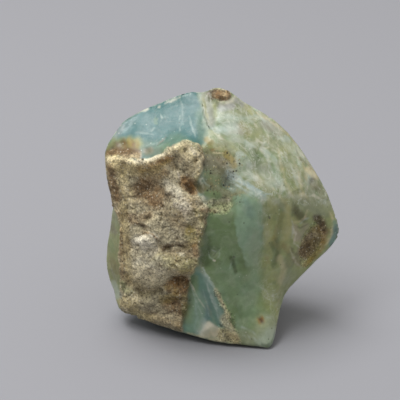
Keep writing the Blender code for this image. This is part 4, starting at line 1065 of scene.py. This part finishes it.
# A fine line thins out towards its ends, and is never even. Broad marks break up in patches.
FINE_WIDTH, BROAD_WIDTH = 2.0, 3.0
for tone, strength, half_width, soft, break_up, line in MARKS:
    line = np.array(line, float)
    margin = half_width + soft + 3.0
    inside = (places > line.min(axis=0) - margin) & (places < line.max(axis=0) + margin)
    near = np.nonzero(inside.all(axis=1) & (front > 0.0))[0]
    bent = places[near] + min(1.5, 0.35 * half_width) * wander[near]
    away, _ = nearest_on_lines(bent, [line])
    wide = half_width
    if half_width < FINE_WIDTH:
        to_ends = [np.linalg.norm(bent - end, axis=1) for end in (line[0], line[-1])]
        taper = 0.3 * np.linalg.norm(np.diff(line, axis=0), axis=1).sum() + 0.5
        wide = wide * (0.4 + 0.6 * smooth_step(0.0, taper, np.minimum(*to_ends)))
        wide = wide * (0.6 + 0.7 * broken[near])
        break_up = max(break_up, 0.4)
    share = strength * (1.0 - smooth_step(wide - 0.5 * soft, wide + 0.5 * soft, away))
    gaps = broken[near] if half_width < BROAD_WIDTH else patchy[near]
    share *= 1.0 - break_up * (1.0 - gaps)
    paint[near] += (share * front[near])[:, None] * (daylight(tone) - paint[near])

# The rock is blotched all over, in paler and darker patches of two sizes.
for size, seed, pale, dark in ((2.2 * MM, 85, 0.2, 0.28), (0.7 * MM, 86, 0.2, 0.26)):
    blotch = fractal(surface, size, 4, seed)
    lay("cream", pale * np.maximum(crust, film) * smooth_step(0.0, 0.7, blotch))
    lay("umber", dark * np.maximum(crust, film) * smooth_step(0.0, 0.7, -blotch))

# The milky veil in the opal is thickest on the upper green side. It leaves the stained band clear,
# and it is thinned along the top of the ridge beside the blue face, as painted shade there.
SHADED_RIDGE_STRIP = [(205.0, 95.0), (208.0, 110.0), (212.0, 128.0)]
off_shaded_strip, _ = nearest_on_lines(places, [np.array(SHADED_RIDGE_STRIP)])
unveiled_by_stain_and_shade = 0.7 * stained + 0.7 * front * smooth_step(7.0, 2.0, off_shaded_strip)
veiled = np.clip(upper + 0.5 * lower + 0.5 * tip + 0.5 * (1.0 - front) - unveiled_by_stain_and_shade, 0.12, 1.0)

surface += OVER_ORIGIN
for vert, point in zip(bm.verts, surface):
    vert.co = point
mesh = bpy.data.meshes.new("opal_stone")
bm.to_mesh(mesh)
bm.free()
stone = bpy.data.objects.new("opal_stone", mesh)
bpy.context.scene.collection.objects.link(stone)
mesh.shade_smooth()
painted = mesh.attributes.new("paint", "FLOAT_COLOR", "POINT")
painted.data.foreach_set("color", np.concatenate([paint, np.ones((len(paint), 1))], axis=1).ravel())
for name, values in (("crust", crust), ("stain", stained), ("veil", veiled)):
    mesh.attributes.new(name, "FLOAT", "POINT").data.foreach_set("value", values)


def add_node(tree, kind, **settings):
    """A shader node with some of its settings, given by name."""
    node = tree.nodes.new("ShaderNode" + kind)
    for name, value in settings.items():
        setattr(node, name, value)
    return node


def feed(tree, socket, value):
    """Gives a socket a plain number or colour, or links it to another socket."""
    if isinstance(value, (float, tuple)):
        socket.default_value = value
    else:
        tree.links.new(value, socket)


def fine_noise(tree, where, size, detail=3.0, roughness=0.55, distortion=0.0):
    """Noise with features of the given size in metres."""
    node = add_node(tree, "TexNoise")
    node.inputs["Scale"].default_value = 1.0 / size
    node.inputs["Detail"].default_value = detail
    node.inputs["Roughness"].default_value = roughness
    node.inputs["Distortion"].default_value = distortion
    tree.links.new(where, node.inputs["Vector"])
    return node.outputs["Fac"]


def stretched(tree, value, low, high, start=0.0, end=1.0):
    """A value mapped from one range to another, and held at its ends."""
    node = add_node(tree, "MapRange")
    for name, number in (("From Min", low), ("From Max", high), ("To Min", start), ("To Max", end)):
        node.inputs[name].default_value = number
    tree.links.new(value, node.inputs["Value"])
    return node.outputs["Result"]


def worked_out(tree, how, first, second=0.0):
    """The outcome of a sum with one or two values."""
    node = add_node(tree, "Math", operation=how)
    feed(tree, node.inputs[0], first)
    feed(tree, node.inputs[1], second)
    return node.outputs[0]


def times(tree, first, second):
    """Two values multiplied."""
    return worked_out(tree, "MULTIPLY", first, second)


def blended(tree, share, first, second, how="MIX"):
    """Two colours mixed by a share."""
    node = add_node(tree, "Mix", data_type="RGBA", blend_type=how)
    for number, value in ((0, share), (6, first), (7, second)):
        feed(tree, node.inputs[number], value)
    return node.outputs[2]


def shaded(tree, base, factor):
    """A colour made paler or darker by a factor."""
    grey = add_node(tree, "CombineColor")
    for socket in grey.inputs[:3]:
        tree.links.new(factor, socket)
    return blended(tree, 1.0, base, grey.outputs[0], "MULTIPLY")


def roughened(tree, shader, height, strength, distance):
    """Makes a surface uneven by this distance in metres."""
    bump = add_node(tree, "Bump")
    bump.inputs["Strength"].default_value = strength
    bump.inputs["Distance"].default_value = distance
    tree.links.new(height, bump.inputs["Height"])
    tree.links.new(bump.outputs[0], shader.inputs["Normal"])


def flecks_group():
    """Loose flecks: a share of the cells of a Voronoi pattern, each a small soft dot."""
    group = bpy.data.node_groups.new("Flecks", "ShaderNodeTree")
    for name, kind in (("Place", "Vector"), ("Scale", "Float"), ("Share", "Float")):
        group.interface.new_socket(name=name, in_out="INPUT", socket_type="NodeSocket" + kind)
    group.interface.new_socket(name="Mask", in_out="OUTPUT", socket_type="NodeSocketFloat")
    start = group.nodes.new("NodeGroupInput")
    end = group.nodes.new("NodeGroupOutput")
    cells = add_node(group, "TexVoronoi", feature="F1")
    group.links.new(start.outputs["Place"], cells.inputs["Vector"])
    group.links.new(start.outputs["Scale"], cells.inputs["Scale"])
    drawn = add_node(group, "SeparateColor")
    group.links.new(cells.outputs["Color"], drawn.inputs[0])
    chosen = worked_out(group, "LESS_THAN", drawn.outputs[0], start.outputs["Share"])
    dot = stretched(group, cells.outputs["Distance"], 0.42, 0.22)
    group.links.new(times(group, chosen, dot), end.inputs["Mask"])
    return group


flecks = flecks_group()


def flecked(tree, base, where, kinds):
    """A colour with flecks: how far apart in mm, the share that shows, how strong, and a tone."""
    for size, share, strength, tone in kinds:
        node = add_node(tree, "Group", node_tree=flecks)
        node.inputs["Scale"].default_value = 1.0 / (size * MM)
        node.inputs["Share"].default_value = share
        tree.links.new(where, node.inputs["Place"])
        base = blended(tree, times(tree, node.outputs["Mask"], strength), base, (*tone, 1.0))
    return base


def painted_material(name):
    """A material, its tree, its shader, the place of each point, and the paint laid there."""
    made = bpy.data.materials.new(name)
    made.use_nodes = True
    tree = made.node_tree
    where = add_node(tree, "TexCoord").outputs["Object"]
    base = add_node(tree, "Attribute", attribute_name="paint").outputs["Color"]
    return made, tree, tree.nodes["Principled BSDF"], where, base


# Opal: waxy, slightly see-through, clouded by milky wisps and fine flecks.
MILKY = (0.52, 0.54, 0.44, 1.0)
DEEP_GREEN = (0.13, 0.17, 0.08, 1.0)
PALE_THREAD = (0.60, 0.62, 0.53, 1.0)
GRIME = (0.07, 0.065, 0.03, 1.0)
opal, tree, shader, where, base = painted_material("opal")
veil = add_node(tree, "Attribute", attribute_name="veil").outputs["Fac"]
wisps = fine_noise(tree, where, 2.3 * MM, 4.0, 0.5, distortion=1.0)
pale = times(tree, veil, stretched(tree, wisps, 0.48, 0.72, 0.0, 0.36))
base = blended(tree, pale, base, MILKY)
dim = times(tree, veil, stretched(tree, wisps, 0.47, 0.28, 0.0, 0.4))
base = blended(tree, dim, base, DEEP_GREEN)
for size, wide, strength in ((3.4 * MM, 0.03, 0.5), (1.7 * MM, 0.04, 0.4)):
    # Threads run where this noise is at its middle, and come and go with a second one.
    web = fine_noise(tree, where, size, distortion=0.9)
    off = worked_out(tree, "ABSOLUTE", worked_out(tree, "SUBTRACT", web, 0.5))
    thread = stretched(tree, off, 0.0, wide, strength, 0.0)
    thread = times(tree, thread, stretched(tree, veil, 0.5, 1.0, 0.15, 1.0))
    thread = times(tree, thread, stretched(tree, fine_noise(tree, where, 1.3 * size), 0.42, 0.6))
    base = blended(tree, thread, base, PALE_THREAD)
depths = stretched(tree, fine_noise(tree, where, 0.9 * MM, 4.0), 0.3, 0.7, 0.9, 1.08)
base = shaded(tree, base, depths)
stain = add_node(tree, "Attribute", attribute_name="stain").outputs["Fac"]
grimy = stretched(tree, fine_noise(tree, where, 0.5 * MM, 4.0, 0.7), 0.5, 0.64, 0.0, 0.6)
base = blended(tree, times(tree, stain, grimy), base, GRIME)
base = flecked(tree, base, where, (
    (0.45, 0.3, stain, (0.3, 0.27, 0.14)),
    (0.55, 0.14, stain, (0.03, 0.025, 0.015)),
    (0.4, 0.02, 0.35, (0.7, 0.72, 0.62)),
    (0.5, 0.012, 0.5, (0.05, 0.05, 0.03)),
))
tree.links.new(base, shader.inputs["Base Color"])
sheen = stretched(tree, fine_noise(tree, where, 0.6 * MM), 0.3, 0.7, 0.3, 0.46)
tree.links.new(sheen, shader.inputs["Roughness"])
shader.inputs["IOR"].default_value = 1.45
shader.inputs["Subsurface Weight"].default_value = 0.25
shader.inputs["Subsurface Radius"].default_value = (0.8, 1.0, 0.9)
shader.inputs["Subsurface Scale"].default_value = 0.5 * MM
roughened(tree, shader, fine_noise(tree, where, 0.35 * MM, 4.0), 0.35, 0.05 * MM)

# Host rock: dull, sandy, with pale and dark grains.
rock, tree, shader, where, base = painted_material("host_rock")
speckle = stretched(tree, fine_noise(tree, where, 0.34 * MM, 3.0, 0.7), 0.36, 0.62, 0.56, 1.52)
patches = stretched(tree, fine_noise(tree, where, 1.1 * MM, 2.0), 0.35, 0.65, 0.82, 1.18)
base = shaded(tree, base, times(tree, speckle, patches))
base = flecked(tree, base, where, (
    (0.42, 0.18, 0.55, (0.62, 0.58, 0.46)),
    (0.46, 0.15, 0.75, (0.085, 0.065, 0.035)),
))
tree.links.new(base, shader.inputs["Base Color"])
sheen = stretched(tree, fine_noise(tree, where, 0.5 * MM), 0.3, 0.7, 0.75, 0.95)
tree.links.new(sheen, shader.inputs["Roughness"])
roughened(tree, shader, fine_noise(tree, where, 0.35 * MM, 5.0, 0.65), 1.0, 0.2 * MM)

mesh.materials.append(opal)
mesh.materials.append(rock)
rocky = (np.maximum(crust, film)[triangles].mean(axis=1) > 0.5).astype(np.int32)
mesh.polygons.foreach_set("material_index", rocky)
mesh.update()

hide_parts("andean_blue_opal")
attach(stone, "root")

# Sandy grains stand half out of the crust, each an angular bit of the host rock.
# They are one piece with the stone, in the colours of the rock they sit in.


def grain_tree():
    """Scatters rough grains where the crust is, each turned and sized at random."""
    tree = bpy.data.node_groups.new("Grains", "GeometryNodeTree")
    for name, kind in (
        ("Geometry", "Geometry"), ("Spacing", "Float"), ("Size", "Float"),
        ("Roundness", "Int"), ("Seed", "Int"), ("Material", "Material"),
    ):
        tree.interface.new_socket(name=name, in_out="INPUT", socket_type="NodeSocket" + kind)
    tree.interface.new_socket(name="Geometry", in_out="OUTPUT", socket_type="NodeSocketGeometry")

    def node(kind, **settings):
        made = tree.nodes.new(kind)
        for name, value in settings.items():
            setattr(made, name, value)
        return made

    def scaled(vector, factor):
        made = node("ShaderNodeVectorMath", operation="SCALE")
        link(vector, made.inputs[0])
        link(factor, made.inputs["Scale"])
        return made.outputs[0]

    start, end, link = node("NodeGroupInput"), node("NodeGroupOutput"), tree.links.new
    on_crust = node("GeometryNodeInputNamedAttribute", data_type="FLOAT")
    on_crust.inputs["Name"].default_value = "crust"
    # So many points are drawn that only the spacing keeps them apart.
    spread = node("GeometryNodeDistributePointsOnFaces", distribute_method="POISSON")
    spread.inputs["Density Max"].default_value = 3.0e7
    link(start.outputs["Geometry"], spread.inputs["Mesh"])
    link(on_crust.outputs[0], spread.inputs["Density Factor"])
    link(start.outputs["Spacing"], spread.inputs["Distance Min"])
    link(start.outputs["Seed"], spread.inputs["Seed"])
    pebble = node("GeometryNodeMeshIcoSphere")
    pebble.inputs["Radius"].default_value = 0.5
    link(start.outputs["Roundness"], pebble.inputs["Subdivisions"])
    turn = node("FunctionNodeRandomValue", data_type="FLOAT_VECTOR")
    turn.inputs[1].default_value = (6.28, 6.28, 6.28)
    link(start.outputs["Seed"], turn.inputs["Seed"])
    swell = node("FunctionNodeRandomValue", data_type="FLOAT_VECTOR")
    swell.inputs[0].default_value = (0.5, 0.5, 0.4)
    swell.inputs[1].default_value = (1.3, 1.3, 1.0)
    link(start.outputs["Seed"], swell.inputs["Seed"])
    # Sink each point, so that most of a grain stays in the rock.
    depth = node("ShaderNodeMath", operation="MULTIPLY")
    depth.inputs[1].default_value = -0.3
    link(start.outputs["Size"], depth.inputs[0])
    sunk = node("GeometryNodeSetPosition")
    link(spread.outputs["Points"], sunk.inputs["Geometry"])
    link(scaled(spread.outputs["Normal"], depth.outputs[0]), sunk.inputs["Offset"])
    placed = node("GeometryNodeInstanceOnPoints")
    link(sunk.outputs[0], placed.inputs["Points"])
    link(pebble.outputs["Mesh"], placed.inputs["Instance"])
    link(turn.outputs[0], placed.inputs["Rotation"])
    link(scaled(swell.outputs[0], start.outputs["Size"]), placed.inputs["Scale"])
    tone = node("FunctionNodeRandomValue", data_type="FLOAT")
    link(start.outputs["Seed"], tone.inputs["Seed"])
    toned = node("GeometryNodeStoreNamedAttribute", data_type="FLOAT", domain="INSTANCE")
    toned.inputs["Name"].default_value = "tone"
    link(placed.outputs[0], toned.inputs["Geometry"])
    link(tone.outputs[1], toned.inputs["Value"])
    real = node("GeometryNodeRealizeInstances")
    link(toned.outputs[0], real.inputs[0])
    # Push the corners about, so that no two grains are alike.
    knock = node("ShaderNodeTexNoise")
    knock.inputs["Scale"].default_value = 1.0 / (0.35 * MM)
    centred = node("ShaderNodeVectorMath", operation="SUBTRACT")
    centred.inputs[1].default_value = (0.5, 0.5, 0.5)
    link(knock.outputs["Color"], centred.inputs[0])
    moved = node("GeometryNodeSetPosition")
    link(real.outputs[0], moved.inputs["Geometry"])
    link(scaled(centred.outputs[0], start.outputs["Size"]), moved.inputs["Offset"])
    coated = node("GeometryNodeSetMaterial")
    link(moved.outputs[0], coated.inputs["Geometry"])
    link(start.outputs["Material"], coated.inputs["Material"])
    link(coated.outputs[0], end.inputs[0])
    return tree


# Each grain is the rock under it, a little paler or darker, and a few are nearly white.
grit, tree, shader, where, base = painted_material("rock_grain")
tone = add_node(tree, "Attribute", attribute_name="tone").outputs["Fac"]
speckle = stretched(tree, fine_noise(tree, where, 0.3 * MM, 3.0, 0.6), 0.3, 0.7, 0.7, 1.25)
base = shaded(tree, base, times(tree, speckle, stretched(tree, tone, 0.0, 1.0, 0.75, 1.2)))
few = stretched(tree, tone, 0.9, 0.94, 0.0, 0.35)
base = blended(tree, few, base, (0.66, 0.60, 0.44, 1.0))
tree.links.new(base, shader.inputs["Base Color"])
sheen = stretched(tree, fine_noise(tree, where, 0.4 * MM), 0.3, 0.7, 0.7, 0.95)
tree.links.new(sheen, shader.inputs["Roughness"])

scatter = grain_tree()
settings = [item for item in scatter.interface.items_tree if item.in_out == "INPUT"]
sockets = {item.name: item.identifier for item in settings}
for name, spacing, size, roundness, seed in (
    ("coarse_grains", 1.5 * MM, 0.42 * MM, 2, 3),
    ("fine_grains", 0.34 * MM, 0.2 * MM, 1, 8),
):
    source = bpy.data.objects.new("source of " + name, mesh)
    bpy.context.scene.collection.objects.link(source)
    made = source.modifiers.new("Grains", "NODES")
    made.node_group = scatter
    made[sockets["Spacing"]] = spacing
    made[sockets["Size"]] = size
    made[sockets["Roundness"]] = roundness
    made[sockets["Seed"]] = seed
    made[sockets["Material"]] = grit
    graph = bpy.context.evaluated_depsgraph_get()
    scattered = bpy.data.meshes.new_from_object(source.evaluated_get(graph))
    grains = bpy.data.objects.new(name, scattered)
    bpy.data.objects.remove(source)
    bpy.context.scene.collection.objects.link(grains)
    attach(grains, "root")

# The floor is plain and pale. A large soft light stands at the upper left, a smaller one fills
# from the front, and the air all round gives an even glow that is strongest from above.

bpy.ops.mesh.primitive_plane_add(size=4.0, location=(0.0, 0.0, 0.0))
floor = bpy.context.object
floor.name = "floor"
ground = bpy.data.materials.new("floor")
ground.use_nodes = True
shader = ground.node_tree.nodes["Principled BSDF"]
shader.inputs["Base Color"].default_value = (0.245, 0.246, 0.266, 1.0)
shader.inputs["Roughness"].default_value = 0.95
floor.data.materials.append(ground)

world = bpy.data.worlds.new("soft fill")
bpy.context.scene.world = world
world.use_nodes = True
tree = world.node_tree
air = tree.nodes["Background"]
air.inputs["Color"].default_value = (1.0, 0.985, 0.95, 1.0)
level = add_node(tree, "SeparateXYZ")
tree.links.new(add_node(tree, "TexCoord").outputs["Generated"], level.inputs[0])
overhead = stretched(tree, level.outputs[2], 0.0, 1.0, 0.12, 0.98)
tree.links.new(overhead, air.inputs["Strength"])

for name, size, power, place in (
    ("window", 0.4, 3.0, (-0.14, 0.10, 0.6)),
    ("reflector", 0.3, 1.5, (-0.24, -0.16, 0.6)),
):
    lamp = bpy.data.objects.new(name, bpy.data.lights.new(name, "AREA"))
    lamp.data.shape = "DISK"
    lamp.data.size = size
    lamp.data.energy = power
    lamp.location = place
    beam = Vector((0.0, 0.0, 0.02)) - lamp.location
    lamp.rotation_euler = beam.to_track_quat("-Z", "Y").to_euler()
    bpy.context.scene.collection.objects.link(lamp)

camera = bpy.data.objects.new("camera", bpy.data.cameras.new("camera"))
camera.data.lens = 200.06
camera.data.sensor_width = 36.0
right = Vector((1.0, 0.0, 0.0))
up = Vector((0.0, math.sin(GRID_TILT), math.cos(GRID_TILT)))
aim = Vector(MIDDLE + OVER_ORIGIN) - right * MIDDLE_ACROSS - up * MIDDLE_UP
camera.location = aim + Vector(towards) * EYE_DISTANCE
camera.rotation_euler = (math.radians(90) - GRID_TILT, 0.0, 0.0)
camera.data.clip_start = 0.01
camera.data.clip_end = 10.0
bpy.context.scene.collection.objects.link(camera)
bpy.context.scene.camera = camera
bpy.context.scene.view_settings.view_transform = "Standard"
